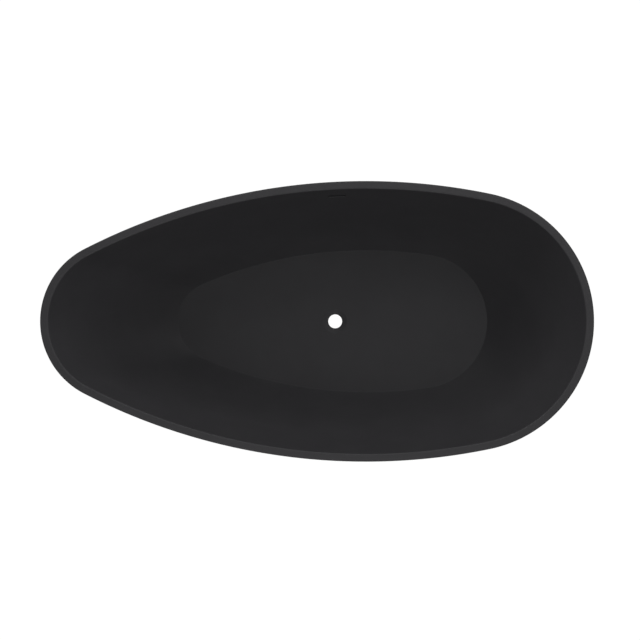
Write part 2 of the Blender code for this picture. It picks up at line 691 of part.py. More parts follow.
def add_overflow_chamber(board):
    """A cup under the drain, open below, clamped to the floor board by its flange, with a side spigot."""
    inner, floor = CHAMBER_RADIUS - CHAMBER_WALL, CHAMBER_BOTTOM_Z + CHAMBER_WALL
    flange_low = CHAMBER_FLANGE_TOP_Z - CHAMBER_FLANGE_THICKNESS
    rim_low = CHAMBER_TOP_Z - CHAMBER_RIM_THICKNESS
    profile = [
        (CHAMBER_OUTLET_RADIUS, CHAMBER_BOTTOM_Z), (CHAMBER_RADIUS, CHAMBER_BOTTOM_Z),
        (CHAMBER_RADIUS, flange_low), (CHAMBER_FLANGE_RADIUS, flange_low),
        (CHAMBER_FLANGE_RADIUS, CHAMBER_FLANGE_TOP_Z), (CHAMBER_RADIUS, CHAMBER_FLANGE_TOP_Z),
        (CHAMBER_RADIUS, rim_low), (CHAMBER_RIM_RADIUS, rim_low), (CHAMBER_RIM_RADIUS, CHAMBER_TOP_Z),
        (inner, CHAMBER_TOP_Z), (inner, floor), (CHAMBER_OUTLET_RADIUS, floor),
    ]
    rings = turned(upright(DRAIN_X, 0), profile, CHAMBER_SIDES)
    chamber = add_loft("overflow_chamber", rings, "black_plastic", wrap=True)
    root, end = CHAMBER_RADIUS - CHAMBER_WALL * 0.6, CHAMBER_RADIUS + SPIGOT_LENGTH
    axis = along_y(DRAIN_X, 0, CHAMBER_SPIGOT_Z)
    spigot = turned(axis, [(SPIGOT_RADIUS, root), (SPIGOT_RADIUS, end)], SPIGOT_SIDES)
    combine(chamber, "spigot", spigot, "UNION")
    bore = turned(axis, [(SPIGOT_BORE, inner - SPIGOT_BORE), (SPIGOT_BORE, end + GAP)], SPIGOT_SIDES)
    combine(chamber, "bore", bore)
    for k in range(4):
        place = Vector((DRAIN_X, 0)) + CHAMBER_SCREW_CIRCLE * direction(math.radians(45 + 90 * k))
        length = CHAMBER_FLANGE_THICKNESS + GAP + BITE_BOARD
        fasten(f"chamber_screw_{k + 1}", face_down(*place, flange_low), length, chamber, board)


def hose_path():
    """The hose's centre line: down from the duct, leaning in between two easy bends, level to the chamber."""
    duct, start = (spigot_frame() @ Vector((0, 0, run)) for run in (GAP, SPIGOT_LENGTH))
    fall = start.z - CHAMBER_SPIGOT_Z
    upper_steps, lean_steps, lower_steps = HOSE_STEPS
    upper = [
        HOSE_UPPER_BEND * Vector((1 - math.cos(turn), math.sin(turn)))
        for turn in spread(0.0, HOSE_LEAN, upper_steps)
    ]
    bend_start = fall - HOSE_LOWER_BEND * (1 - math.sin(HOSE_LEAN))
    lean_end = Vector((upper[-1].x + (bend_start - upper[-1].y) * math.tan(HOSE_LEAN), bend_start))
    lean = [upper[-1].lerp(lean_end, share) for share in spread(0.0, 1.0, lean_steps)]
    centre = lean_end + HOSE_LOWER_BEND * Vector((math.cos(HOSE_LEAN), -math.sin(HOSE_LEAN)))
    lower = [
        centre + HOSE_LOWER_BEND * Vector((-math.cos(turn), math.sin(turn)))
        for turn in spread(HOSE_LEAN, math.pi / 2, lower_steps)
    ]
    path = [duct]
    for inwards, down in upper + lean[1:] + lower[1:]:
        share = down / fall
        x = start.x + (DRAIN_X - start.x) * share * share * (3 - 2 * share)
        path.append(Vector((x, start.y - inwards, start.z - down)))
    return [*path, Vector((DRAIN_X, CHAMBER_RADIUS + GAP, CHAMBER_SPIGOT_Z))]


def swept(path, radius):
    """Rings square to a path that never runs along X."""
    rings = []
    for k, point in enumerate(path):
        ahead = (path[min(k + 1, len(path) - 1)] - path[max(k - 1, 0)]).normalized()
        side = (Vector((1, 0, 0)) - ahead.x * ahead).normalized()
        frame = axes(point, side, ahead.cross(side), ahead)
        rings += turned(frame, [(radius, 0)], HOSE_SIDES)
    return rings


def add_hose():
    path = hose_path()
    rings = swept(path, HOSE_RADIUS) + swept(path, HOSE_BORE)[::-1]
    add_loft("overflow_hose", rings, "grey_plastic", wrap=True)


def add_clamp(number, frame):
    """A band round the hose with a lump for its tightening screw, on the frame's X side."""
    sides = 24
    band = HOSE_RADIUS + GAP + CLAMP_THICKNESS
    outside = [
        (band + (CLAMP_SCREW_BOX if k in (0, 1, sides - 1) else 0)) * direction(2 * math.pi * k / sides)
        for k in range(sides)
    ]
    inside = circle(HOSE_RADIUS + GAP, sides)
    low, high = CLAMP_SETBACK, CLAMP_SETBACK + CLAMP_WIDTH
    sections = [(outside, low), (outside, high), (inside, high), (inside, low)]
    add_loft(f"hose_clamp_{number}", stack(frame, sections), "zinc_plated_steel", wrap=True)


def add_clip(board):
    """A loop round the hose, hung from the floor board by a foot with one screw."""
    axis = along_y(DRAIN_X, CLIP_Y - CLIP_WIDTH / 2, CHAMBER_SPIGOT_Z)
    inner, outer = HOSE_RADIUS + GAP, HOSE_RADIUS + GAP + CLIP_THICKNESS
    loop = [(outer, 0), (outer, CLIP_WIDTH), (inner, CLIP_WIDTH), (inner, 0)]
    clip = add_loft("hose_clip", turned(axis, loop, 24), "black_plastic", wrap=True)
    rise = BOARD_BOTTOM_Z - GAP - CHAMBER_SPIGOT_Z
    half, root = CLIP_THICKNESS / 2, inner + CLIP_THICKNESS / 2
    corners = (
        (-half, root), (half, root), (half, rise - CLIP_THICKNESS), (CLIP_FOOT, rise - CLIP_THICKNESS),
        (CLIP_FOOT, rise), (-half, rise),
    )
    section = [(x, -z) for x, z in corners]
    trim = CLIP_WIDTH / 20
    stem = stack(axis, [(section, trim), (section, CLIP_WIDTH - trim)])
    combine(clip, "stem", stem, "UNION")
    head = face_down(DRAIN_X + CLIP_SCREW, CLIP_Y, CHAMBER_SPIGOT_Z + rise - CLIP_THICKNESS)
    fasten("clip_screw", head, CLIP_THICKNESS + GAP + BITE_BOARD, clip, board)


def main():
    for thing in list(bpy.data.objects):
        bpy.data.objects.remove(thing)
    bowl, shell, board = add_bowl(), add_outer_shell(), add_floor_board()
    add_rim_bond()
    add_rail(1, -RAIL_Y)
    add_rail(2, RAIL_Y)
    for k, x in enumerate(CHANNEL_X):
        add_channel(k + 1, x)
    ends = [(x, side) for x in (CHANNEL_X[0], CHANNEL_X[-1]) for side in (-1, 1)]
    for k, (x, side) in enumerate(ends):
        add_bracket(k + 1, x, side, shell)
    for k, (x, y) in enumerate(foot_places()):
        add_foot(k + 1, x, y)
    add_overflow_seal()
    add_overflow_duct(bowl)
    add_chamber_gasket()
    add_overflow_chamber(board)
    add_hose()
    add_clamp(1, spigot_frame())
    add_clamp(2, along_y(DRAIN_X, CHAMBER_RADIUS + GAP, CHAMBER_SPIGOT_Z))
    add_clip(board)


main()
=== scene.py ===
"""Freestanding egg-shaped bathtub in matte black cast solid surface, lit softly and seen from straight above.

Frame: +X towards the wide end, +Y towards the side with the overflow slot, +Z up, in metres. Overall sizes
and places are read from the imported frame. The outlines, slopes and routes repeat the part's own constants.
"""

import json
import math

import bmesh
import bpy
from mathutils import Matrix, Vector

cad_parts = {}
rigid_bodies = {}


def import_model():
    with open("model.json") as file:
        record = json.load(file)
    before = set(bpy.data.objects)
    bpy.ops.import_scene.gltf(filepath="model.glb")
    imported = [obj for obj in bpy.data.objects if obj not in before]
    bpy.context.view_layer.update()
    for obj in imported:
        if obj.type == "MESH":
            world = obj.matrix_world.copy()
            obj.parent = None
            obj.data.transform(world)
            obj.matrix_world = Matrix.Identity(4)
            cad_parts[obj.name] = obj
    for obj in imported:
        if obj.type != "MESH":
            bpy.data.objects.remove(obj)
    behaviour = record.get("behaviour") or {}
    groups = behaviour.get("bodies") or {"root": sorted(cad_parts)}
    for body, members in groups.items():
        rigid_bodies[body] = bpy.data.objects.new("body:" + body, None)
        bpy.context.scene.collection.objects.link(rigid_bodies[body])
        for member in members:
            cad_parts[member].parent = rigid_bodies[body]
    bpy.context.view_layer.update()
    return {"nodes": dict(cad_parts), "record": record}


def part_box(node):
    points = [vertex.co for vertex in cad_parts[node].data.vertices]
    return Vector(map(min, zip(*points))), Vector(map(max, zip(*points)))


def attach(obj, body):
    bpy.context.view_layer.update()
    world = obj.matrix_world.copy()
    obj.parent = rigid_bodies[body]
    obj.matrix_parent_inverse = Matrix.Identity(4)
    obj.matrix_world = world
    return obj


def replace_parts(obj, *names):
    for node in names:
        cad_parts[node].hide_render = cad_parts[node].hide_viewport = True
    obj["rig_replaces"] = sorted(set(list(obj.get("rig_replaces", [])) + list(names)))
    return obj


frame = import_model()

GAP = 0.0003  # between pieces that touch
SHARP_ANGLE = math.radians(34)  # between two faces, from which their edge shows as sharp
END_FLAT = 0.0001  # left between the two corners of a round end
HOLE_MARGIN = 0.001  # by which a hole is cut past the piece's faces
HOLE_SIDES = 20
PILOT_SIDES = 16
BOWL_LOW, BOWL_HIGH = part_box("bowl")
SHELL_LOW, SHELL_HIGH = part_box("outer_shell")
HEIGHT = BOWL_HIGH.z
BOWL_UNDERSIDE_Z = BOWL_LOW.z
GROUND_GAP = SHELL_LOW.z
SHELL_TOP_Z = SHELL_HIGH.z
FLANGE_UNDERSIDE_Z = SHELL_TOP_Z + GAP

# Bowl
RIM_WIDE_RADIUS = 0.4237
RIM_NARROW_RADIUS = 0.2645
RIM_WIDTH = 0.025
FLOOR_WIDE_X = 0.5525
FLOOR_NARROW_X = -0.4522
FLOOR_HALF_WIDTH = 0.2305
FLOOR_WIDE_RADIUS = 0.2173
FLOOR_NARROW_RADIUS = 0.1305
CREASE_Z = 0.115
FLOOR_FALL = 0.005
BOWL_WALL = 0.011
WALL_STEEPNESS = 0.650
WALL_EASING = WALL_STEEPNESS - (HEIGHT - CREASE_Z)
WALL_STEPS = 28
FLOOR_STEPS = 6
RIM_OUTER_ROUND = 0.0028
RIM_INNER_ROUND = 0.0042
CREASE_ROUND = 0.0012
HIDDEN_ROUND = 0.003  # on the bowl's underside and under its flange

# Drain and overflow slot
DRAIN_X = 0.0588
DRAIN_HOLE_RADIUS = 0.0225
DRAIN_RECESS_RADIUS = 0.0385
DRAIN_RECESS_DEPTH = 0.005
DRAIN_RECESS_ROUND = 0.0012
DRAIN_HOLE_ROUND = 0.0015
DRAIN_OUTLET_ROUND = 0.0008
SLOT_X = 0.065
SLOT_WIDTH = 0.057
SLOT_HEIGHT = 0.016
SLOT_SHARE = 0.11
SLOT_ROUND = 0.0018

# Outer shell
SHELL_WALL = 0.010
SHELL_LIP = 0.045
BASE_WIDE_X = 0.750
BASE_NARROW_X = -0.720
BASE_HALF_WIDTH = 0.344
BASE_WIDE_RADIUS = 0.300
BASE_NARROW_RADIUS = 0.190
SHELL_CURVE = 1.63
SHELL_STEPS = 28
SEAM_ROUND = 0.0008

# Fasteners and feet
STUD_PIN = 0.004
STUD_FLATS = 0.013
STUD_COLLAR = 0.006
STUD_RADIUS = 0.005
STUD_PITCH = 0.0015
PAD_GROOVES = (0.010, 0.015, 0.020)  # radii
GROOVE_TOP = 0.0009  # half its width at the sole
GROOVE_BOTTOM = 0.0005
GROOVE_DEPTH = 0.0008
NUT_FLATS = 0.017
NUT_BEAD_WIDTH = 0.0028
NUT_BEAD_HEIGHT = 0.0026
NUT_BEAD_RIPPLES = 15
SCREW_RADIUS = 0.0018
SCREW_PITCH = 0.0014
SCREW_HEAD_RADIUS = 0.0045
SCREW_HEAD_HEIGHT = 0.0026
SCREW_SIDES = 32
CROSS_WIDTH = 0.00065  # half the cross recess's width
CROSS_SLOPE = 0.00025
CROSS_REACH = 0.0026
CROSS_FADE = 0.0009
CROSS_DEPTH = 0.0013

# Welds of the frame
WELD_SIZE = 0.0035
WELD_INSET = 0.003  # from the channel's edges
WELD_RIPPLES = 14
WELD_STEPS = 112
WELD_RELIEF = 0.0006

# Overflow duct, in the frame on the back of the bowl's wall at the slot
EAR_SIZE = (0.106, 0.044)
EAR_CORNER = 0.006
EAR_THICKNESS = 0.002
EAR_SCREW = 0.046
PILOT_HOLE = (-0.0065, 0.002)  # heights at a duct screw, not through to the bowl's wet face
MOUTH_SIZE = (0.062, 0.021)
DUCT_FRONT = 0.0026
DUCT_SCREW_LENGTH = 0.0106
DUCT_WALL = 0.0025
DUCT_CORNER = 0.004
DUCT_SETBACK = 0.0005
DUCT_TOP = (-0.020, 0.080, 0.0125)  # distance below the slot, width, depth
DUCT_WAIST = (0.030, 0.080, 0.0135)
DUCT_END = (0.085, 0.056, 0.0210)
SPIGOT_DOWN = 0.130
SPIGOT_OUT = 0.0172
SPIGOT_SHOULDER = 0.004
SPIGOT_RADIUS = 0.0125
SPIGOT_BORE = 0.0100
SPIGOT_LENGTH = 0.028

# Overflow hose
HOSE_RADIUS = 0.016
HOSE_BORE = 0.0132
HOSE_RIPPLE = 0.0022
HOSE_PITCH = 0.0048
HOSE_SIDES = 32
HOSE_LEAN = math.radians(20)  # from upright, between its two bends
HOSE_UPPER_BEND = 0.135  # radius
HOSE_LOWER_BEND = 0.160
HOSE_STEPS = (24, 24, 64)  # round its upper bend, along its leaning stretch and round its lower bend
CLAMP_WIDTH = 0.009
CLAMP_THICKNESS = 0.0008
CLAMP_SETBACK = 0.008
WORM_RADIUS = 0.0024
WORM_LENGTH = 0.0148
WORM_HEAD_HEIGHT = 0.0030
WORM_HEAD_FLATS = 0.0064
WORM_SIDES = 36
CLIP_Y = 0.168
CLIP_WIDTH = 0.014
CLIP_THICKNESS = 0.002
CLIP_FOOT = 0.026

# Overflow chamber
CHAMBER_RADIUS = 0.048
CHAMBER_WALL = 0.004
CHAMBER_BOTTOM_Z = 0.020
CHAMBER_OUTLET_RADIUS = 0.027
CHAMBER_RIM_RADIUS = 0.054
CHAMBER_RIM_THICKNESS = 0.003
CHAMBER_FLANGE_RADIUS = 0.074
CHAMBER_FLANGE_THICKNESS = 0.005
CHAMBER_SPIGOT_Z = 0.038
CHAMBER_TUBE_SIDES = 48
GUSSET_TURNS = (22.5, 157.5, 202.5, 247.5, 292.5, 337.5)  # degrees, clear of the spigot
GUSSET_DROP = 0.026
CHAMBER_TOP_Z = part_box("overflow_chamber")[1].z
CHAMBER_FLANGE_TOP_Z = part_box("floor_board")[0].z - GAP

# Camera and light
VIEW_CENTRE = (0.0095, 0.0044)
VIEW_WIDTH = 2.0792
VIEW_HEIGHT = 3.0
LIGHT_DISTANCE = 3.0
LIGHT_SIZE = 2.0
STAGE_SIZE = 6.0
STAGE_DROP = 0.0005  # below the feet, so that the two don't share a plane
HORIZON_BLEND = 0.01


def direction(angle):
    return Vector((math.cos(angle), math.sin(angle)))


def at(point, height):
    return Vector((*point, height))


def bisect(low, high, is_before):
    """The value between low and high up to which is_before holds."""
    for _ in range(50):
        middle = (low + high) / 2
        if is_before(middle):
            low = middle
        else:
            high = middle
    return middle


def spread(low, high, steps):
    return [low + (high - low) * k / steps for k in range(steps + 1)]


class Egg:
    """A convex outline of four tangent arcs, symmetric about the X axis."""

    def __init__(self, wide_x, narrow_x, half_width, wide_radius, narrow_radius):
        self.half_width = half_width
        self.wide_radius = wide_radius
        self.narrow_radius = narrow_radius
        self.wide_centre = wide_x - wide_radius
        self.narrow_centre = narrow_x + narrow_radius
        self.side_radius = bisect(half_width * 1.001, half_width * 100, self._side_is_too_round)
        self.side_depth = self.side_radius - half_width
        self.side_centre = self.wide_centre - self._side_span(self.side_radius, wide_radius)
        self.wide_angle = math.atan2(self.side_depth, self.wide_centre - self.side_centre)
        self.narrow_angle = math.atan2(self.side_depth, self.narrow_centre - self.side_centre)

    def _side_span(self, side_radius, end_radius):
        """The distance along X from a side arc's centre to the centre of an end arc tangent to it."""
        return math.sqrt(
            (self.half_width - end_radius) * (2 * side_radius - end_radius - self.half_width)
        )

    def _side_is_too_round(self, side_radius):
        ends = (self.wide_radius, self.narrow_radius)
        spans = sum(self._side_span(side_radius, end_radius) for end_radius in ends)
        return spans < self.wide_centre - self.narrow_centre

    def point(self, angle, inset=0.0):
        """The point whose outward normal is at this angle from +X, moved inwards by inset."""
        lean = math.acos(max(-1.0, min(1.0, math.cos(angle))))
        if lean <= self.wide_angle:
            centre, radius = Vector((self.wide_centre, 0)), self.wide_radius
        elif lean >= self.narrow_angle:
            centre, radius = Vector((self.narrow_centre, 0)), self.narrow_radius
        else:
            side = math.copysign(self.side_depth, -math.sin(angle))
            centre, radius = Vector((self.side_centre, side)), self.side_radius
        return centre + (radius - inset) * direction(angle)


RIM = Egg(BOWL_HIGH.x, BOWL_LOW.x, BOWL_HIGH.y, RIM_WIDE_RADIUS, RIM_NARROW_RADIUS)
FLOOR = Egg(FLOOR_WIDE_X, FLOOR_NARROW_X, FLOOR_HALF_WIDTH, FLOOR_WIDE_RADIUS, FLOOR_NARROW_RADIUS)
BASE = Egg(BASE_WIDE_X, BASE_NARROW_X, BASE_HALF_WIDTH, BASE_WIDE_RADIUS, BASE_NARROW_RADIUS)


def outline_angles():
    """Normal angles about evenly spaced round the rim, with the four extremes among them."""
    half_turn = math.pi
    stretches = (
        (0.0, RIM.wide_angle, 44),
        (RIM.wide_angle, half_turn / 2, 36),
        (half_turn / 2, RIM.narrow_angle, 48),
        (RIM.narrow_angle, half_turn, 40),
    )
    half = [angle for low, high, steps in stretches for angle in spread(low, high, steps)[:-1]]
    return half + [half_turn] + [2 * half_turn - angle for angle in reversed(half[1:])]


ANGLES = outline_angles()


def wall_point(angle, share, depth=0.0):
    """A point in the bowl's wall: share runs from rim to floor, depth goes in from the wet face."""
    start, end = RIM.point(angle, RIM_WIDTH), FLOOR.point(angle)
    run = (start - end).dot(direction(angle))
    slope = WALL_STEEPNESS - 2 * WALL_EASING * share
    back = Vector((*(slope * direction(angle)), -run)).normalized()
    drop = WALL_STEEPNESS * share - WALL_EASING * share**2
    return Vector((*start.lerp(end, share), HEIGHT - drop)) + depth * back


def shell_point(angle, share, depth=0.0):
    """A point in the shell's wall: share runs down its height, depth goes in, square to the wall."""
    start, end = RIM.point(angle), BASE.point(angle)
    run = (start - end).dot(direction(angle))
    height = HEIGHT - GROUND_GAP
    slope = run * SHELL_CURVE * share ** (SHELL_CURVE - 1) / height
    face = start.lerp(end, share**SHELL_CURVE) - depth * math.hypot(1, slope) * direction(angle)
    return Vector((*face, HEIGHT - share * height))


def axes(origin, along, across, out):
    """A frame at a point with these unit vectors as its X, Y and Z."""
    return Matrix.Translation(origin) @ Matrix((along, across, out)).transposed().to_4x4()


def wall_frame(angle, share):
    """Axes on the back of the bowl's wall: X level along it, Y up its slope, Z straight out of it."""
    origin = wall_point(angle, share, BOWL_WALL)
    out = (origin - wall_point(angle, share)).normalized()
    along = Vector((-math.sin(angle), math.cos(angle), 0))
    return axes(origin, along, out.cross(along), out)


SLOT_ANGLE = bisect(0.0, math.pi, lambda angle: wall_point(angle, SLOT_SHARE).x > SLOT_X)
SLOT_FRAME = wall_frame(SLOT_ANGLE, SLOT_SHARE)


def upright(x, y, z=0.0):
    return Matrix.Translation((x, y, z))


def face_down(x, y, z):
    """A frame whose Z points down."""
    return upright(x, y, z) @ Matrix.Rotation(math.pi, 4, "X")


def along_y(x, y, z):
    """A frame whose X stays, whose Y points down and whose Z points to +Y."""
    return upright(x, y, z) @ Matrix.Rotation(-math.pi / 2, 4, "X")


def ear_frame(side, height=0.0):
    """Axes at one of the duct's two screws, this far out from the back of the bowl's wall."""
    return SLOT_FRAME @ upright(side * EAR_SCREW, 0, height)


def stance(node):
    """An upright frame through a CAD node's middle, with the node's lowest and highest heights."""
    low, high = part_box(node)
    return upright((low.x + high.x) / 2, (low.y + high.y) / 2), low.z, high.z


def half_width(node):
    low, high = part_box(node)
    return (high.x - low.x) / 2


# Shapes


def soften(corners, steps=4):
    """Points round a closed loop of (corner, trim) pairs, in which a corner with a trim is rounded off."""
    points = []
    for k, (corner, trim) in enumerate(corners):
        if not trim:
            points.append(corner)
            continue
        before = (corners[k - 1][0] - corner).normalized()
        after = (corners[(k + 1) % len(corners)][0] - corner).normalized()
        points.append(corner + 1.5 * trim * before)
        for share in spread(0.0, 1.0, steps):
            points.append(corner + trim * ((1 - share) ** 2 * before + share**2 * after))
        points.append(corner + 1.5 * trim * after)
    return points


def ring(place, reach, height, sides):
    """A ring round a frame's Z axis, where reach is a radius or gives it for each share of a turn."""
    radii = [reach(k / sides) if callable(reach) else reach for k in range(sides)]
    flat = [radius * direction(math.tau * k / sides) for k, radius in enumerate(radii)]
    return [place @ at(point, height) for point in flat]


def rings_at(place, corners, sides):
    """Rings round a frame's Z axis, from (reach, height) pairs."""
    return [ring(place, reach, height, sides) for reach, height in corners]


def turned(place, corners, sides):
    """Rings of a turned shape with rounded corners, from (radius, height, trim) along a frame's Z axis."""
    profile = soften([(Vector((radius, height)), trim) for radius, height, trim in corners])
    return rings_at(place, profile, sides)


def rounded_rectangle(width, depth, radius, steps=8):
    """Points round a rectangle with round corners, about the origin, as many to each corner as steps."""
    points = []
    for corner in range(4):
        middle = math.radians(45 + 90 * corner)
        centre = Vector((
            math.copysign(width / 2 - radius, math.cos(middle)),
            math.copysign(depth / 2 - radius, math.sin(middle)),
        ))
        turns = [math.radians(90 * (corner + (k + 0.5) / steps)) for k in range(steps)]
        points += [centre + radius * direction(turn) for turn in turns]
    return points


def slab(place, size, corner, low, high, edge):
    """Rings of a rounded rectangular plate between two heights, with rounded edges."""
    steps = ((0, edge), (edge * 0.3, edge * 0.3), (edge, 0))
    levels = [(low + rise, inset) for rise, inset in steps]
    levels += [(high - rise, inset) for rise, inset in steps[::-1]]
    rings = []
    for height, inset in levels:
        outline = rounded_rectangle(size[0] - 2 * inset, size[1] - 2 * inset, corner - inset)
        rings.append([place @ at(point, height) for point in outline])
    return rings


def loft(rings, wrap=False):
    """A closed mesh through rings of points, with its ends filled, or joined to each other by wrap."""
    bm = bmesh.new()
    rows = [[bm.verts.new(point) for point in points] for points in rings]
    pairs = list(zip(rows, rows[1:]))
    if wrap:
        pairs.append((rows[-1], rows[0]))
    for lower, upper in pairs:
        for k, corner in enumerate(lower):
            bm.faces.new((corner, lower[k - 1], upper[k - 1], upper[k]))
    if not wrap:
        bm.faces.new(rows[0])
        bm.faces.new(rows[-1])
    bmesh.ops.recalc_face_normals(bm, faces=bm.faces)
    return bm


def shade(mesh):
    mesh.shade_smooth()
    mesh.set_sharp_from_angle(angle=SHARP_ANGLE)


def link_object(name, data):
    thing = bpy.data.objects.new(name, data)
    bpy.context.scene.collection.objects.link(thing)
    return thing


def add_object(name, bm):
    mesh = bpy.data.meshes.new(name)
    bm.to_mesh(mesh)
    bm.free()
    shade(mesh)
    return link_object(name, mesh)


def cut(thing, rings, operation="DIFFERENCE"):
    """Cuts a lofted shape out of an object, or joins it on, and keeps the result as its mesh."""
    tool = add_object("tool", loft(rings))
    boolean = thing.modifiers.new("cut", "BOOLEAN")
    boolean.operation = operation
    boolean.solver = "EXACT"
    boolean.object = tool
    settled = thing.evaluated_get(bpy.context.evaluated_depsgraph_get())
    mesh = bpy.data.meshes.new_from_object(settled)
    thing.modifiers.clear()
    thing.data = mesh
    shade(mesh)
    bpy.data.objects.remove(tool)


def drill(thing, place, low, high, sides=HOLE_SIDES, radius=SCREW_RADIUS + GAP):
    """Cuts a round hole, by default a screw's, along a frame's Z axis between two heights."""
    cut(thing, rings_at(place, ((radius, low), (radius, high)), sides))


def dress(thing, slot_name, body="root"):
    """Gives an object the finish of a slot, and a body to ride on."""
    thing.data.materials.clear()
    thing.data.materials.append(FINISHES[slot_name])
    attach(thing, body)


def show(thing, node, slot_name, body="root"):
    """Puts an object in a CAD node's place."""
    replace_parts(thing, node)
    dress(thing, slot_name, body)


# Finishes


class Finish:
    """A material, with short ways to add texture nodes that follow the object's own coordinates."""

    def __init__(self, name, roughness, metallic=0.0, specular=0.5):
        self.material = bpy.data.materials.new(name)
        self.material.use_nodes = True
        self.tree = self.material.node_tree
        self.shader = self.tree.nodes["Principled BSDF"]
        self.shader.inputs["Roughness"].default_value = roughness
        self.shader.inputs["Metallic"].default_value = metallic
        self.shader.inputs["Specular IOR Level"].default_value = specular
        self.place = self.tree.nodes.new("ShaderNodeTexCoord").outputs["Object"]

    def feed(self, socket, value):
        """Sets an input to a value, or links it from another node's output."""
        if isinstance(value, bpy.types.NodeSocket):
            self.tree.links.new(value, socket)
        else:
            socket.default_value = value

    def add(self, kind, inputs):
        node = self.tree.nodes.new(kind)
        for name, value in inputs.items():
            self.feed(node.inputs[name], value)
        return node

    def stretched(self, scale):
        """Coordinates multiplied by a scale along each axis."""
        return self.add("ShaderNodeMapping", {"Vector": self.place, "Scale": scale}).outputs["Vector"]

    def noise(self, scale, detail=3.0, rough=0.5, place=None):
        settings = {"Vector": place or self.place, "Scale": scale, "Detail": detail, "Roughness": rough}
        return self.add("ShaderNodeTexNoise", settings).outputs["Fac"]

    def cells(self, scale, output="Distance", place=None):
        settings = {"Vector": place or self.place, "Scale": scale}
        return self.add("ShaderNodeTexVoronoi", settings).outputs[output]

    def remap(self, value, low, high, to_low=0.0, to_high=1.0):
        settings = {"Value": value, "From Min": low, "From Max": high, "To Min": to_low, "To Max": to_high}
        return self.add("ShaderNodeMapRange", settings).outputs["Result"]

    def mix(self, factor, first, second):
        """A colour between two, each a colour or another node's output."""
        node = self.tree.nodes.new("ShaderNodeMix")
        node.data_type = "RGBA"
        for number, value in ((0, factor), (6, first), (7, second)):
            self.feed(node.inputs[number], (*value, 1.0) if isinstance(value, tuple) else value)
        return node.outputs[2]

    def math(self, operation, first, second=0.0):
        node = self.tree.nodes.new("ShaderNodeMath")
        node.operation = operation
        for socket, value in zip(node.inputs, (first, second)):
            self.feed(socket, value)
        return node.outputs[0]

    def bump(self, *layers):
        """Relief from (height, distance in metres) layers, coarse ones first."""
        normal = None
        for height, distance in layers:
            settings = {"Height": height, "Distance": distance, "Strength": 1.0}
            if normal:
                settings["Normal"] = normal
            normal = self.add("ShaderNodeBump", settings).outputs["Normal"]
        self.tree.links.new(normal, self.shader.inputs["Normal"])

    def colour(self, *layers):
        self.feed(self.shader.inputs["Base Color"], self.mix(*layers))

    def roughness(self, *levels):
        self.feed(self.shader.inputs["Roughness"], self.remap(*levels))


def solid_surface_finish():
    """Cast mineral resin, sanded matte: close to black, with fine filler grains and a faint cloudiness."""
    finish = Finish("solid_surface_black", 0.6, specular=0.35)
    clouds = finish.remap(finish.noise(9.0, 4.0, 0.55), 0.3, 0.7)
    base = finish.mix(clouds, (0.0268, 0.0260, 0.0284), (0.0301, 0.0293, 0.0318))
    grains = finish.remap(finish.cells(900.0), 0.0, 0.16, 1.0, 0.0)
    sparse = finish.remap(finish.noise(260.0, 2.0), 0.52, 0.68, 0.0, 0.55)
    specks = finish.math("MULTIPLY", grains, sparse)
    finish.colour(specks, base, (0.060, 0.059, 0.058))
    sanding = finish.noise(420.0, 5.0, 0.65)
    finish.roughness(sanding, 0.25, 0.75, 0.54, 0.66)
    finish.bump((finish.noise(24.0, 2.0), 0.00025), (sanding, 0.00004))
    return finish.material


def adhesive_finish():
    """Cured adhesive, squeezed out unevenly."""
    finish = Finish("bond_adhesive", 0.6)
    lumps = finish.noise(160.0, 4.0, 0.6)
    finish.colour(lumps, (0.045, 0.044, 0.043), (0.082, 0.080, 0.078))
    finish.roughness(lumps, 0.3, 0.7, 0.5, 0.75)
    finish.bump((lumps, 0.0008))
    return finish.material


def plywood_finish():
    """Birch plywood: long grain on its faces and crossed plies on its edges."""
    finish = Finish("birch_plywood", 0.7, specular=0.3)
    low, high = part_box("floor_board")
    grain = finish.noise(1.0, 5.0, 0.62, finish.stretched((6.0, 130.0, 20.0)))
    figure = finish.noise(1.0, 3.0, 0.5, finish.stretched((2.2, 16.0, 2.0)))
    streaks = finish.remap(grain, 0.35, 0.68)
    face = finish.mix(streaks, (0.52, 0.35, 0.19), (0.36, 0.22, 0.11))
    face = finish.mix(finish.remap(figure, 0.4, 0.7, 0.0, 0.5), face, (0.60, 0.43, 0.26))
    height = finish.add("ShaderNodeSeparateXYZ", {"Vector": finish.place}).outputs["Z"]
    plies = finish.remap(height, low.z, high.z, 0.0, 9.0 * math.pi)
    layer = finish.remap(finish.math("SINE", plies), -0.25, 0.25)
    fibres = finish.noise(1.0, 3.0, 0.6, finish.stretched((300.0, 300.0, 1200.0)))
    edge = finish.mix(layer, (0.27, 0.15, 0.07), (0.55, 0.39, 0.23))
    edge = finish.mix(finish.remap(fibres, 0.4, 0.8, 0.0, 0.5), edge, (0.22, 0.13, 0.07))
    normal = finish.tree.nodes.new("ShaderNodeNewGeometry").outputs["Normal"]
    facing = finish.add("ShaderNodeSeparateXYZ", {"Vector": normal}).outputs["Z"]
    level = finish.remap(finish.math("ABSOLUTE", facing), 0.4, 0.6)
    finish.colour(level, edge, face)
    finish.roughness(grain, 0.3, 0.7, 0.6, 0.8)
    finish.bump((grain, 0.0003))
    return finish.material


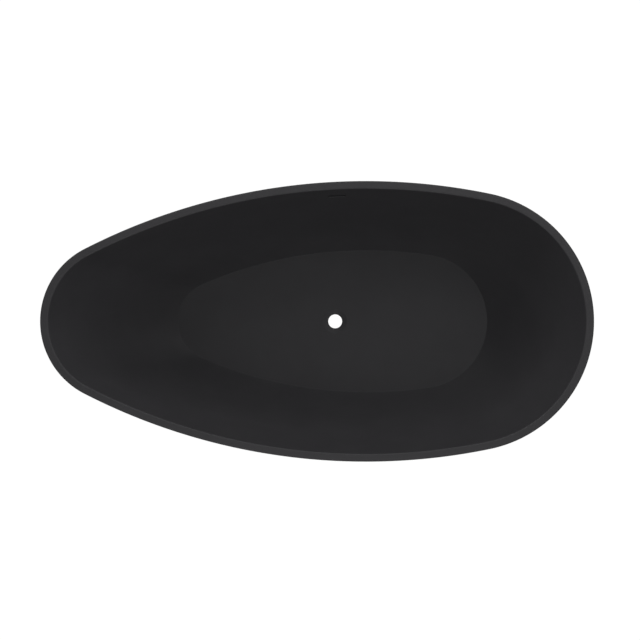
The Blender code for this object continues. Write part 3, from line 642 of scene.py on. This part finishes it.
def galvanised_finish():
    """Hot-dip galvanised steel with its spangle of crystals and a dull bloom."""
    finish = Finish("galvanised_steel", 0.4, metallic=1.0)
    crystal_scale = 110.0
    crystals = finish.cells(crystal_scale, "Color")
    tone = finish.add("ShaderNodeSeparateXYZ", {"Vector": crystals}).outputs["X"]
    spangle = finish.mix(tone, (0.42, 0.44, 0.46), (0.66, 0.67, 0.68))
    bloom = finish.remap(finish.noise(35.0, 5.0, 0.6), 0.5, 0.75, 0.0, 0.6)
    finish.colour(bloom, spangle, (0.50, 0.51, 0.51))
    finish.roughness(finish.math("ADD", tone, bloom), 0.0, 1.4, 0.30, 0.62)
    finish.bump((finish.cells(crystal_scale), 0.0002), (finish.noise(700.0, 3.0), 0.00005))
    return finish.material


def zinc_finish():
    """Bright zinc plating with a faint warm and cool tarnish and fine wear."""
    finish = Finish("zinc_plating", 0.3, metallic=1.0)
    tarnish = finish.remap(finish.noise(190.0, 4.0, 0.6), 0.35, 0.65)
    colour = finish.mix(tarnish, (0.72, 0.70, 0.62), (0.62, 0.65, 0.70))
    wear = finish.remap(finish.noise(1300.0, 4.0, 0.7), 0.55, 0.75, 0.0, 0.6)
    finish.colour(wear, colour, (0.48, 0.47, 0.45))
    finish.roughness(wear, 0.0, 0.6, 0.22, 0.48)
    finish.bump((finish.noise(900.0, 4.0, 0.6), 0.00004))
    return finish.material


def rubber_finish():
    """Black rubber with a fine grain and a little grey dust."""
    finish = Finish("foot_rubber", 0.8, specular=0.3)
    dust = finish.remap(finish.noise(120.0, 5.0, 0.65), 0.5, 0.8, 0.0, 0.6)
    finish.colour(dust, (0.017, 0.017, 0.018), (0.060, 0.058, 0.054))
    finish.roughness(dust, 0.0, 0.6, 0.68, 0.92)
    finish.bump((finish.noise(1500.0, 3.0, 0.6), 0.00008))
    return finish.material


def black_plastic_finish():
    """Black polypropylene with a spark-eroded mould texture."""
    finish = Finish("moulded_black", 0.45)
    flow = finish.remap(finish.noise(45.0, 3.0, 0.5), 0.35, 0.65)
    finish.colour(flow, (0.022, 0.022, 0.023), (0.034, 0.034, 0.035))
    texture = finish.cells(1400.0)
    finish.roughness(flow, 0.0, 1.0, 0.38, 0.52)
    finish.bump((texture, 0.00006))
    return finish.material


def grey_plastic_finish():
    """Grey flexible PVC, a little uneven in colour, with a soft gloss."""
    finish = Finish("hose_grey", 0.42)
    haze = finish.remap(finish.noise(60.0, 4.0, 0.55), 0.3, 0.7)
    finish.colour(haze, (0.30, 0.31, 0.32), (0.39, 0.40, 0.41))
    finish.roughness(haze, 0.0, 1.0, 0.36, 0.50)
    finish.bump((finish.noise(500.0, 3.0, 0.5), 0.00006))
    return finish.material


FINISHES = {
    "solid_surface": solid_surface_finish(),
    "adhesive": adhesive_finish(),
    "plywood": plywood_finish(),
    "galvanised_steel": galvanised_finish(),
    "zinc_plated_steel": zinc_finish(),
    "black_rubber": rubber_finish(),
    "black_plastic": black_plastic_finish(),
    "grey_plastic": grey_plastic_finish(),
}


# Bowl and shell


def drain_circle(angle, radius):
    return Vector((DRAIN_X, 0)) + radius * direction(angle)


def around(profile):
    """A closed mesh through a profile's sections all the way round."""
    return loft(list(zip(*[profile(angle) for angle in ANGLES])), wrap=True)


def bowl_profile(angle):
    """A section through the bowl from its rim to the drain hole and back up the outside of its wall."""
    recess_z = CREASE_Z - FLOOR_FALL
    crease, recess = FLOOR.point(angle), drain_circle(angle, DRAIN_RECESS_RADIUS)
    hole = drain_circle(angle, DRAIN_HOLE_RADIUS)
    shares = spread(0.0, 1.0, WALL_STEPS)[1:-1]
    floor = spread(0.0, 1.0, FLOOR_STEPS)[1:-1]
    back = bisect(0.0, 0.1, lambda share: wall_point(angle, share, BOWL_WALL).z > FLANGE_UNDERSIDE_Z)
    flange_corner = wall_point(angle, back, BOWL_WALL)
    corners = [
        (at(RIM.point(angle), FLANGE_UNDERSIDE_Z), SEAM_ROUND),
        (at(RIM.point(angle), HEIGHT), RIM_OUTER_ROUND),
        (at(RIM.point(angle, RIM_WIDTH), HEIGHT), RIM_INNER_ROUND),
    ]
    corners += [(wall_point(angle, share), 0) for share in shares]
    corners.append((at(crease, CREASE_Z), CREASE_ROUND))
    corners += [(at(crease.lerp(recess, share), CREASE_Z - FLOOR_FALL * share), 0) for share in floor]
    corners += [
        (at(recess, recess_z), DRAIN_RECESS_ROUND),
        (at(hole, recess_z - DRAIN_RECESS_DEPTH), DRAIN_HOLE_ROUND),
        (at(hole, BOWL_UNDERSIDE_Z), DRAIN_OUTLET_ROUND),
        (at(FLOOR.point(angle, -BOWL_WALL / 2), BOWL_UNDERSIDE_Z), HIDDEN_ROUND),
    ]
    corners += [(wall_point(angle, share, BOWL_WALL), 0) for share in reversed(shares[1:])]
    corners.append((flange_corner, HIDDEN_ROUND))
    return soften(corners)


def slot_rings():
    """The overflow slot through the wall, flared to a rounded edge on the wet face."""
    steps = 5
    levels = [(SLOT_ROUND * 4, -BOWL_WALL - SLOT_ROUND * 4)]
    for turn in spread(0.0, math.pi / 2, steps):
        levels.append((SLOT_ROUND * (1 - math.sin(turn)), SLOT_ROUND * (1 - math.cos(turn)) - BOWL_WALL))
    levels.append((0.0, BOWL_WALL))
    rings = []
    for grow, height in levels:
        width, tall = SLOT_WIDTH + 2 * grow, SLOT_HEIGHT + 2 * grow
        outline = rounded_rectangle(width, tall, tall / 2 - END_FLAT, 12)
        rings.append([SLOT_FRAME @ at(point, height) for point in outline])
    return rings


def add_bowl():
    bowl = add_object("cast_bowl", around(bowl_profile))
    cut(bowl, slot_rings())
    for side in (-1, 1):
        drill(bowl, ear_frame(side), *PILOT_HOLE, PILOT_SIDES)
    show(bowl, "bowl", "solid_surface")


def shell_profile(angle):
    """A section through the shell, up its outside, over its seam and down its inside to the bottom lip."""
    height = HEIGHT - GROUND_GAP
    top, lip_top_z = (HEIGHT - SHELL_TOP_Z) / height, GROUND_GAP + SHELL_WALL
    lip = (HEIGHT - lip_top_z) / height
    outside, inside = spread(1.0, top, SHELL_STEPS), spread(top, lip, SHELL_STEPS)
    corners = [(shell_point(angle, 1.0), 0.003)]
    corners += [(shell_point(angle, share), 0) for share in outside[1:-1]]
    corners += [
        (shell_point(angle, top), SEAM_ROUND),
        (shell_point(angle, top, SHELL_WALL), SEAM_ROUND),
    ]
    corners += [(shell_point(angle, share, SHELL_WALL), 0) for share in inside[1:-1]]
    corners += [
        (shell_point(angle, lip, SHELL_WALL), 0.004),
        (at(BASE.point(angle, SHELL_LIP), lip_top_z), 0.002),
        (at(BASE.point(angle, SHELL_LIP), GROUND_GAP), 0.002),
    ]
    return soften(corners)


def add_shell():
    shell = add_object("cast_shell", around(shell_profile))
    for number in range(1, 5):
        place, low, high = stance(f"bracket_screw_{number}")
        drill(shell, place, low - GAP, high, PILOT_SIDES)
    show(shell, "outer_shell", "solid_surface")


add_bowl()
add_shell()


# Screws, nuts and feet


def threaded(place, radius, pitch, low, high, sides):
    """Rings up a threaded shank, four to each turn of its thread, faded in at both ends."""
    rings = []
    count = round(4 * (high - low) / pitch)
    depth = 0.58 * pitch
    for k, height in enumerate(spread(low, high, count)):
        fade = min(1.0, k / 4, (count - k) / 4)
        drop = fade * depth

        def reach(turn):
            return radius - drop * abs(2 * ((height / pitch - turn) % 1) - 1)

        rings.append(ring(place, reach, height, sides))
    return rings


def hexagon(flats, chamfer):
    """A hexagon's reach at each share of a turn, kept within a cone by this much beyond half its flats."""
    def reach(turn):
        corner = flats / 2 / math.cos((turn * 6 % 1 - 0.5) * math.pi / 3)
        return min(corner, flats / 2 + chamfer)

    return reach


def hexagon_rings(place, flats, low, high, sides):
    """Rings up a hexagon whose corners are turned off at 30 degrees on both faces."""
    depths = (0, 0.0004, 0.0009)
    levels = [(low + depth, depth) for depth in depths] + [(high - depth, depth) for depth in depths[::-1]]
    corners = [
        (hexagon(flats, depth * math.tan(math.pi / 3) - 0.0002), height) for height, depth in levels
    ]
    return rings_at(place, corners, sides)


def screw_head(place):
    """Rings up a domed pan head and into its cross recess."""
    dome = SCREW_HEAD_HEIGHT * 0.45
    side = ((SCREW_HEAD_RADIUS - 0.0003, GAP), (SCREW_HEAD_RADIUS, GAP + 0.0003),
            (SCREW_HEAD_RADIUS, SCREW_HEAD_HEIGHT - dome))
    rings = rings_at(place, side, SCREW_SIDES)
    for share in spread(0.98, 0.04, 14):
        radius = SCREW_HEAD_RADIUS * share
        top = SCREW_HEAD_HEIGHT - dome * share**2.4
        points = []
        for k in range(SCREW_SIDES):
            point = radius * direction(math.tau * k / SCREW_SIDES)
            across = min(abs(point.x), abs(point.y))
            cross = max(0.0, min(1.0, (CROSS_WIDTH - across) / CROSS_SLOPE))
            taper = max(0.0, min(1.0, (CROSS_REACH - radius) / CROSS_FADE))
            points.append(place @ at(point, top - CROSS_DEPTH * cross * taper))
        rings.append(points)
    return rings


def add_screw(name, place, length):
    """A pan-head screw with a cross recess, its head on the frame's XY plane and its shank below."""
    tip = rings_at(place, ((0.0002, -length), (SCREW_RADIUS * 0.6, 0.0012 - length)), SCREW_SIDES)
    shank = threaded(place, SCREW_RADIUS, SCREW_PITCH, 0.0016 - length, 0.0, SCREW_SIDES)
    screw = add_object(f"{name}_pan_head", loft(tip + shank + screw_head(place)))
    show(screw, name, "zinc_plated_steel")


def add_level_screws():
    """The screws that stand upright or hang head down, where their CAD nodes are."""
    upwards = [f"bracket_screw_{k}" for k in range(1, 5)]
    downwards = [f"chamber_screw_{k}" for k in range(1, 5)] + ["clip_screw"]
    for name in upwards + downwards:
        place, low, high = stance(name)
        if name in upwards:
            head = upright(0, 0, high - SCREW_HEAD_HEIGHT)
        else:
            head = face_down(0, 0, low + SCREW_HEAD_HEIGHT)
        add_screw(name, place @ head, high - low - SCREW_HEAD_HEIGHT)


def add_duct_screws():
    for number, side in ((1, -1), (2, 1)):
        add_screw(f"duct_screw_{number}", ear_frame(side, DUCT_FRONT + EAR_THICKNESS), DUCT_SCREW_LENGTH)


def add_pad(number):
    """A round rubber pad with a grooved sole and a socket for its stud."""
    place, _, height = stance(f"foot_pad_{number}")
    radius, socket = half_width(f"foot_pad_{number}"), STUD_PIN + 0.0005
    sole = []
    for groove in PAD_GROOVES:
        sole += [(groove - GROOVE_TOP, 0, 0.0002), (groove - GROOVE_BOTTOM, GROOVE_DEPTH, 0.0002),
                 (groove + GROOVE_BOTTOM, GROOVE_DEPTH, 0.0002), (groove + GROOVE_TOP, 0, 0.0002)]
    side = [(radius, 0, 0.0006), (radius, 0.0018, 0.0002), (radius - 0.0006, 0.0022, 0.0002),
            (radius - 0.0006, 0.0030, 0.0002), (radius, 0.0034, 0.0002), (radius, height / 2, 0.0012)]
    top = [(0.019, height, 0.0010), (socket, height, 0.0004), (socket, height / 2, 0.0003)]
    profile = [(0.0004, 0, 0), *sole, *side, *top, (0.0004, height / 2, 0)]
    pad = add_object(f"rubber_pad_{number}", loft(turned(place, profile, 64)))
    show(pad, f"foot_pad_{number}", "black_rubber", f"foot_{number}")


def add_stud(number):
    """A threaded stud with a hexagon collar, and a pin that stands in its pad's socket."""
    place, _, pad_top = stance(f"foot_pad_{number}")
    _, low, high = stance(f"adjuster_stud_{number}")
    foot, sides = pad_top + GAP, 36
    pin = ((STUD_PIN - 0.0004, low), (STUD_PIN, low + 0.0004), (STUD_PIN, foot))
    rings = rings_at(place, pin, sides)
    rings += hexagon_rings(place, STUD_FLATS, foot, foot + STUD_COLLAR, sides)
    rings += threaded(place, STUD_RADIUS, STUD_PITCH, foot + STUD_COLLAR, high - 0.001, sides)
    rings.append(ring(place, STUD_RADIUS - 0.001, high, sides))
    stud = add_object(f"threaded_stud_{number}", loft(rings))
    show(stud, f"adjuster_stud_{number}", "zinc_plated_steel", f"foot_{number}")


def add_nuts(number):
    """The hexagon lock nut, and the round nut above it with the bead that welds it to the channel."""
    bore, sides = STUD_RADIUS + GAP, 60
    place, low, high = stance(f"lock_nut_{number}")
    rings = hexagon_rings(place, NUT_FLATS, low, high, sides)
    rings += turned(place, [(bore, high, 0.0005), (bore, low, 0.0005)], sides)[1:-1]
    nut = add_object(f"hexagon_nut_{number}", loft(rings, wrap=True))
    show(nut, f"lock_nut_{number}", "zinc_plated_steel")
    _, low, high = stance(f"weld_nut_{number}")
    radius = half_width(f"weld_nut_{number}")
    rings = rings_at(place, ((radius - 0.0008, low), (radius, low + 0.0008)), sides)
    for share in spread(0.0, 1.0, 5):
        bulge = NUT_BEAD_WIDTH * math.sin(share * math.pi / 2) ** 2

        def reach(turn):
            return radius + bulge * (1 + 0.12 * math.sin(turn * math.tau * NUT_BEAD_RIPPLES))

        rings.append(ring(place, reach, high - NUT_BEAD_HEIGHT * (1 - share), sides))
    rings += rings_at(place, ((bore, high), (bore, low + 0.0005), (bore + 0.0005, low)), sides)
    weld_nut = add_object(f"welded_nut_{number}", loft(rings, wrap=True))
    show(weld_nut, f"weld_nut_{number}", "zinc_plated_steel")


add_level_screws()
add_duct_screws()
for foot_number in range(1, 6):
    add_pad(foot_number)
    add_stud(foot_number)
    add_nuts(foot_number)


# Overflow


def spigot_frame():
    """The duct's outlet: X along the wall, Y straight away from it, Z down."""
    along = SLOT_FRAME.to_3x3().col[0]
    away = Vector((*direction(SLOT_ANGLE), 0))
    return axes(SLOT_FRAME @ Vector((0, -SPIGOT_DOWN, SPIGOT_OUT)), along, away, along.cross(away))


def duct_section(down, width, depth, inset):
    """A ring across the duct, inside its outer face by inset."""
    corner = max(DUCT_CORNER - inset, DUCT_WALL / 2)
    points = rounded_rectangle(width - 2 * inset, depth - 2 * inset, corner)
    middle = DUCT_FRONT + DUCT_SETBACK + depth / 2
    return [SLOT_FRAME @ Vector((point.x, -down, middle + point.y)) for point in points]


def duct_stations():
    """The duct's length, width and depth from under its lid to its narrow end, eased between."""
    stations = [Vector(DUCT_TOP).lerp(Vector(DUCT_WAIST), share) for share in spread(0.0, 1.0, 3)]
    for share in spread(0.0, 1.0, 8)[1:]:
        ease = share * share * (3 - 2 * share)
        down = DUCT_WAIST[0] + (DUCT_END[0] - DUCT_WAIST[0]) * share
        stations.append(Vector((down, *Vector(DUCT_WAIST[1:]).lerp(Vector(DUCT_END[1:]), ease))))
    return stations


def add_duct():
    """A flat hollow box over the slot's back, narrowing to a round spigot, with two screwed ears."""
    outlet, sides = spigot_frame() @ Matrix.Rotation(math.pi / 32, 4, "Z"), 32
    shoulder = SPIGOT_RADIUS + SPIGOT_SHOULDER
    stations = duct_stations()
    lid = ((0, 0.0015), (0.0005, 0.0004), (0.0015, 0))
    rings = [duct_section(DUCT_TOP[0] + drop, *DUCT_TOP[1:], inset) for drop, inset in lid]
    rings += [duct_section(*station, 0) for station in stations[1:]]
    outside = [
        (shoulder, -SPIGOT_SHOULDER), (shoulder, -0.0008), (shoulder - 0.0008, 0), (SPIGOT_RADIUS, 0),
        (SPIGOT_RADIUS, 0.004), (SPIGOT_RADIUS, SPIGOT_LENGTH - 0.006),
        (SPIGOT_RADIUS + 0.0004, SPIGOT_LENGTH - 0.005), (SPIGOT_RADIUS - 0.0006, SPIGOT_LENGTH),
    ]
    inside = [(SPIGOT_BORE, SPIGOT_LENGTH), (SPIGOT_BORE, 0), (shoulder - DUCT_WALL, -SPIGOT_SHOULDER)]
    rings += rings_at(outlet, outside + inside, sides)
    rings += [duct_section(*station, DUCT_WALL) for station in reversed(stations[1:])]
    rings.append(duct_section(DUCT_TOP[0] + DUCT_WALL, *DUCT_TOP[1:], DUCT_WALL))
    duct = add_object("moulded_duct", loft(rings))
    ears = slab(SLOT_FRAME, EAR_SIZE, EAR_CORNER, DUCT_FRONT, DUCT_FRONT + EAR_THICKNESS, 0.0005)
    cut(duct, ears, "UNION")
    mouth = rounded_rectangle(*MOUTH_SIZE, MOUTH_SIZE[1] / 2 - END_FLAT)
    depths = (0.001, DUCT_FRONT + DUCT_SETBACK + 2 * DUCT_WALL)
    cut(duct, [[SLOT_FRAME @ at(point, depth) for point in mouth] for depth in depths])
    for side in (-1, 1):
        drill(duct, ear_frame(side), 0.001, 0.008)
    show(duct, "overflow_duct", "black_plastic")


def hose_path():
    """The hose's centre line: down from the duct, leaning in between two easy bends, level to the chamber."""
    duct, start = (spigot_frame() @ Vector((0, 0, run)) for run in (GAP, SPIGOT_LENGTH))
    fall = start.z - CHAMBER_SPIGOT_Z
    upper_steps, lean_steps, lower_steps = HOSE_STEPS
    upper = [
        HOSE_UPPER_BEND * Vector((1 - math.cos(turn), math.sin(turn)))
        for turn in spread(0.0, HOSE_LEAN, upper_steps)
    ]
    bend_start = fall - HOSE_LOWER_BEND * (1 - math.sin(HOSE_LEAN))
    lean_end = Vector((upper[-1].x + (bend_start - upper[-1].y) * math.tan(HOSE_LEAN), bend_start))
    lean = [upper[-1].lerp(lean_end, share) for share in spread(0.0, 1.0, lean_steps)]
    centre = lean_end + HOSE_LOWER_BEND * Vector((math.cos(HOSE_LEAN), -math.sin(HOSE_LEAN)))
    lower = [
        centre + HOSE_LOWER_BEND * Vector((-math.cos(turn), math.sin(turn)))
        for turn in spread(HOSE_LEAN, math.pi / 2, lower_steps)
    ]
    path = [duct]
    for inwards, down in upper + lean[1:] + lower[1:]:
        share = down / fall
        x = start.x + (DRAIN_X - start.x) * share * share * (3 - 2 * share)
        path.append(Vector((x, start.y - inwards, start.z - down)))
    return [*path, Vector((DRAIN_X, CHAMBER_RADIUS + GAP, CHAMBER_SPIGOT_Z))]


def evenly(path, step):
    """Points along a path at about this distance from each other, with their distance from its start."""
    runs = [0.0]
    for before, after in zip(path, path[1:]):
        runs.append(runs[-1] + (after - before).length)
    places, k = [], 0
    for run in spread(0.0, runs[-1], round(runs[-1] / step)):
        while k < len(path) - 2 and runs[k + 1] < run:
            k += 1
        share = (run - runs[k]) / (runs[k + 1] - runs[k])
        places.append((run, path[k].lerp(path[k + 1], share)))
    return places


def tube_rings(places, radius_at):
    """Rings square to a path that never runs along X."""
    rings = []
    for k, (run, point) in enumerate(places):
        before, after = places[max(k - 1, 0)][1], places[min(k + 1, len(places) - 1)][1]
        ahead = (after - before).normalized()
        side = (Vector((1, 0, 0)) - ahead.x * ahead).normalized()
        rings.append(ring(axes(point, side, ahead.cross(side), ahead), radius_at(run), 0, HOSE_SIDES))
    return rings


def add_hose():
    """A corrugated hose with a smooth cuff over each spigot."""
    path = hose_path()
    outside, inside = evenly(path, HOSE_PITCH / 6), evenly(path, HOSE_PITCH * 2)
    length = outside[-1][0]

    def radius_at(run):
        beyond_cuff = min(run, length - run) - SPIGOT_LENGTH
        depth = HOSE_RIPPLE * max(0.0, min(1.0, beyond_cuff / HOSE_PITCH))
        wave = 0.5 - 0.5 * math.cos(math.tau * run / HOSE_PITCH)
        return HOSE_RADIUS - depth * wave**1.5

    rings = tube_rings(outside, radius_at) + tube_rings(inside, lambda run: HOSE_BORE)[::-1]
    hose = add_object("corrugated_hose", loft(rings, wrap=True))
    show(hose, "overflow_hose", "grey_plastic")


def add_clamp(number, place):
    """A worm-drive clamp: a band, its screw housing on the frame's X side, and the slotted worm screw."""
    inner = HOSE_RADIUS + GAP
    low, high = CLAMP_SETBACK, CLAMP_SETBACK + CLAMP_WIDTH
    outer = inner + CLAMP_THICKNESS
    band = [(outer, low, 0.0002), (outer, high, 0.0002), (inner, high, 0.0002), (inner, low, 0.0002)]
    clamp = add_object(f"worm_clamp_{number}", loft(turned(place, band, 96), wrap=True))
    seat = place @ upright(outer - 0.0002, 0, (low + high) / 2) @ Matrix.Rotation(math.pi / 2, 4, "Y")
    cut(clamp, slab(seat, (0.0088, 0.0110), 0.0015, 0.0, 0.0046, 0.0008), "UNION")
    axis = place @ along_y(outer + 0.0026, -0.0085, (low + high) / 2)
    shank = ((WORM_RADIUS - 0.0004, 0.0), (WORM_RADIUS, 0.0004),
             (WORM_RADIUS, WORM_LENGTH - 0.0003), (WORM_RADIUS, WORM_LENGTH))
    rings = rings_at(axis, shank, WORM_SIDES)
    top = WORM_LENGTH + WORM_HEAD_HEIGHT
    rings += hexagon_rings(axis, WORM_HEAD_FLATS, WORM_LENGTH, top, WORM_SIDES)
    cut(clamp, rings, "UNION")
    slit = ((-0.0005, -0.004), (0.0005, -0.004), (0.0005, 0.004), (-0.0005, 0.004))
    depths = (top - 0.001, top + 0.0012)
    cut(clamp, [[axis @ at(corner, depth) for corner in slit] for depth in depths])
    show(clamp, f"hose_clamp_{number}", "zinc_plated_steel")


def add_clip():
    """A loop round the hose, hung from the floor board by a foot with one screw."""
    axis = along_y(DRAIN_X, CLIP_Y - CLIP_WIDTH / 2, CHAMBER_SPIGOT_Z)
    inner, outer = HOSE_RADIUS + GAP, HOSE_RADIUS + GAP + CLIP_THICKNESS
    loop = [(outer, 0, 0.0005), (outer, CLIP_WIDTH, 0.0005), (inner, CLIP_WIDTH, 0.0005), (inner, 0, 0.0005)]
    clip = add_object("pipe_clip", loft(turned(axis, loop, 96), wrap=True))
    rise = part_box("hose_clip")[1].z - CHAMBER_SPIGOT_Z
    half, root = CLIP_THICKNESS / 2, inner + CLIP_THICKNESS / 2
    corners = (
        (-half, root, 0.0), (half, root, 0.0), (half, rise - CLIP_THICKNESS, 0.0012),
        (CLIP_FOOT, rise - CLIP_THICKNESS, 0.0005), (CLIP_FOOT, rise, 0.0005), (-half, rise, 0.0012),
    )
    section = soften([(Vector((x, -z)), trim) for x, z, trim in corners])
    trim = CLIP_WIDTH / 20
    cut(clip, [[axis @ at(point, y) for point in section] for y in (trim, CLIP_WIDTH - trim)], "UNION")
    hole, low, high = stance("clip_screw")
    drill(clip, hole, low - HOLE_MARGIN, high)
    show(clip, "hose_clip", "black_plastic")


def add_chamber():
    """A cup under the drain, open below, with a clamped flange, gussets and a side spigot."""
    place, sides = upright(DRAIN_X, 0), 96
    inner, floor_z = CHAMBER_RADIUS - CHAMBER_WALL, CHAMBER_BOTTOM_Z + CHAMBER_WALL
    flange_low = CHAMBER_FLANGE_TOP_Z - CHAMBER_FLANGE_THICKNESS
    rim_low = CHAMBER_TOP_Z - CHAMBER_RIM_THICKNESS
    profile = [
        (CHAMBER_OUTLET_RADIUS, CHAMBER_BOTTOM_Z, 0.0005), (CHAMBER_RADIUS, CHAMBER_BOTTOM_Z, 0.0020),
        (CHAMBER_RADIUS, flange_low, 0.0015), (CHAMBER_FLANGE_RADIUS, flange_low, 0.0008),
        (CHAMBER_FLANGE_RADIUS, CHAMBER_FLANGE_TOP_Z, 0.0008), (CHAMBER_RADIUS, CHAMBER_FLANGE_TOP_Z, 0.0005),
        (CHAMBER_RADIUS, rim_low, 0.0005), (CHAMBER_RIM_RADIUS, rim_low, 0.0004),
        (CHAMBER_RIM_RADIUS, CHAMBER_TOP_Z, 0.0004), (inner, CHAMBER_TOP_Z, 0.0004),
        (inner, floor_z, 0.0030), (CHAMBER_OUTLET_RADIUS, floor_z, 0.0006),
    ]
    chamber = add_object("drain_chamber", loft(turned(place, profile, sides), wrap=True))
    root, end = CHAMBER_RADIUS - CHAMBER_WALL * 0.6, CHAMBER_RADIUS + SPIGOT_LENGTH
    axis = along_y(DRAIN_X, 0, CHAMBER_SPIGOT_Z)
    spigot = [(0.0004, root, 0), (SPIGOT_RADIUS, root, 0), (SPIGOT_RADIUS, end, 0.0006), (0.0004, end, 0)]
    cut(chamber, turned(axis, spigot, CHAMBER_TUBE_SIDES), "UNION")
    drill(chamber, axis, inner - SPIGOT_BORE, end + HOLE_MARGIN, CHAMBER_TUBE_SIDES, SPIGOT_BORE)
    foot, top = CHAMBER_RADIUS - 0.001, flange_low + 0.001
    corners = ((foot, top), (CHAMBER_FLANGE_RADIUS - 0.004, top), (foot, top - GUSSET_DROP))
    for degrees in GUSSET_TURNS:
        turn = Matrix.Rotation(math.radians(degrees), 4, "Z")
        plate = [[place @ turn @ Vector((x, y, z)) for x, z in corners] for y in (-0.001, 0.001)]
        cut(chamber, plate, "UNION")
    for number in range(1, 5):
        hole, low, high = stance(f"chamber_screw_{number}")
        drill(chamber, hole, low - HOLE_MARGIN, high)
    show(chamber, "overflow_chamber", "black_plastic")


add_duct()
add_hose()
add_clamp(1, spigot_frame())
add_clamp(2, along_y(DRAIN_X, CHAMBER_RADIUS + GAP, CHAMBER_SPIGOT_Z))
add_clip()
add_chamber()


# Frame welds


def add_weld(name, start, end, out):
    """A rippled fillet weld along an edge, which fills the corner towards out."""
    ahead = (end - start).normalized()
    up = Vector((0, 0, 1))
    rings = []
    for share in spread(0.0, 1.0, WELD_STEPS):
        taper = min(1.0, 8 * share + 0.3, 8 * (1 - share) + 0.3)
        size = WELD_SIZE * taper * (1 + 0.14 * math.sin(share * WELD_RIPPLES * math.tau))
        centre = start.lerp(end, share) - 0.0003 * (out + up)
        ripple = WELD_RELIEF * math.cos(share * WELD_RIPPLES * math.tau) * ahead
        arc = [size * (math.cos(turn) * out + math.sin(turn) * up) for turn in spread(0, math.pi / 2, 6)]
        rings.append([centre] + [centre + point * 0.94 + ripple for point in arc])
    dress(add_object(name, loft(rings)), "galvanised_steel")


def add_frame_welds():
    """Two fillet welds where each rail crosses each channel, along the channel's top."""
    for rail in (1, 2):
        rail_low, rail_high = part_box(f"frame_rail_{rail}")
        for channel in range(1, 5):
            low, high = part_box(f"cross_channel_{channel}")
            for side, y in ((-1, rail_low.y), (1, rail_high.y)):
                start = Vector((low.x + WELD_INSET, y, high.z))
                end = Vector((high.x - WELD_INSET, y, high.z))
                suffix = "inner" if side * (rail_low.y + rail_high.y) < 0 else "outer"
                add_weld(f"frame_weld_{rail}_{channel}_{suffix}", start, end, Vector((0, side, 0)))


add_frame_welds()


# The nodes whose shape is right as it is


def refine(name, slot_name, edge):
    """Gives a CAD node its finish, and rounds its edges a little."""
    node = frame["nodes"][name]
    for slot in node.material_slots:
        slot.material = FINISHES[slot_name]
    weld = node.modifiers.new("weld", "WELD")
    weld.merge_threshold = 0.00001
    bevel = node.modifiers.new("edges", "BEVEL")
    bevel.width = edge
    bevel.segments = 3
    bevel.limit_method = "ANGLE"
    bevel.angle_limit = math.radians(40)


def refine_the_rest():
    edges = {"galvanised_steel": 0.0004, "plywood": 0.0006, "black_plastic": 0.0005,
             "black_rubber": 0.0003, "adhesive": 0.0006}
    replaced = {name for piece in bpy.data.objects for name in piece.get("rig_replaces", [])}
    for part in frame["record"]["subparts"]:
        name, slot_name = part["node"], part["material_slot"]
        if name not in replaced and slot_name in edges:
            refine(name, slot_name, edges[slot_name])


refine_the_rest()


# Stage


def add_floor():
    """A plain floor that is white from its own even glow, so that no shadow shows on it."""
    bm = bmesh.new()
    bmesh.ops.create_grid(bm, x_segments=1, y_segments=1, size=STAGE_SIZE)
    floor = add_object("studio_floor", bm)
    floor.location.z = -STAGE_DROP
    finish = Finish("studio_white", 1.0, specular=0.0)
    finish.shader.inputs["Base Color"].default_value = (0.05, 0.05, 0.05, 1.0)
    finish.shader.inputs["Emission Color"].default_value = (1.0, 1.0, 1.0, 1.0)
    finish.shader.inputs["Emission Strength"].default_value = 1.0
    floor.data.materials.append(finish.material)


def add_light(name, heading, elevation, power):
    """A square soft light that faces the bath from a heading and an elevation in degrees."""
    light = bpy.data.lights.new(name, "AREA")
    light.size = LIGHT_SIZE
    light.energy = power
    lamp = link_object(name, light)
    flat = math.cos(math.radians(elevation)) * direction(math.radians(heading))
    towards = Vector((*flat, math.sin(math.radians(elevation))))
    lamp.location = LIGHT_DISTANCE * towards + Vector((0, 0, HEIGHT))
    lamp.rotation_euler = towards.to_track_quat("Z", "Y").to_euler()


def add_world(strength):
    """An even light from above the horizon, and white below it, so that the floor's edge doesn't show."""
    world = bpy.data.worlds.new("studio_air")
    world.use_nodes = True
    nodes, links = world.node_tree.nodes, world.node_tree.links
    background = nodes["Background"]
    background.inputs["Color"].default_value = (1.0, 1.0, 1.0, 1.0)
    split = nodes.new("ShaderNodeSeparateXYZ")
    links.new(nodes.new("ShaderNodeTexCoord").outputs["Generated"], split.inputs["Vector"])
    glow = nodes.new("ShaderNodeMapRange")
    levels = {"From Min": -HORIZON_BLEND, "From Max": 0.0, "To Min": 1.0, "To Max": strength}
    for name, value in levels.items():
        glow.inputs[name].default_value = value
    links.new(split.outputs["Z"], glow.inputs["Value"])
    links.new(glow.outputs["Result"], background.inputs["Strength"])
    bpy.context.scene.world = world


def add_camera():
    camera = bpy.data.cameras.new("plan_view")
    camera.type = "ORTHO"
    camera.ortho_scale = VIEW_WIDTH
    thing = link_object("plan_view", camera)
    thing.location = (*VIEW_CENTRE, VIEW_HEIGHT)
    bpy.context.scene.camera = thing


add_floor()
add_world(0.08)
add_light("key_light", heading=112.0, elevation=30.0, power=51.8)
add_light("side_light", heading=45.0, elevation=45.0, power=33.6)
add_light("fill_light", heading=270.0, elevation=45.0, power=43.7)
add_camera()
bpy.context.scene.view_settings.view_transform = "Standard"
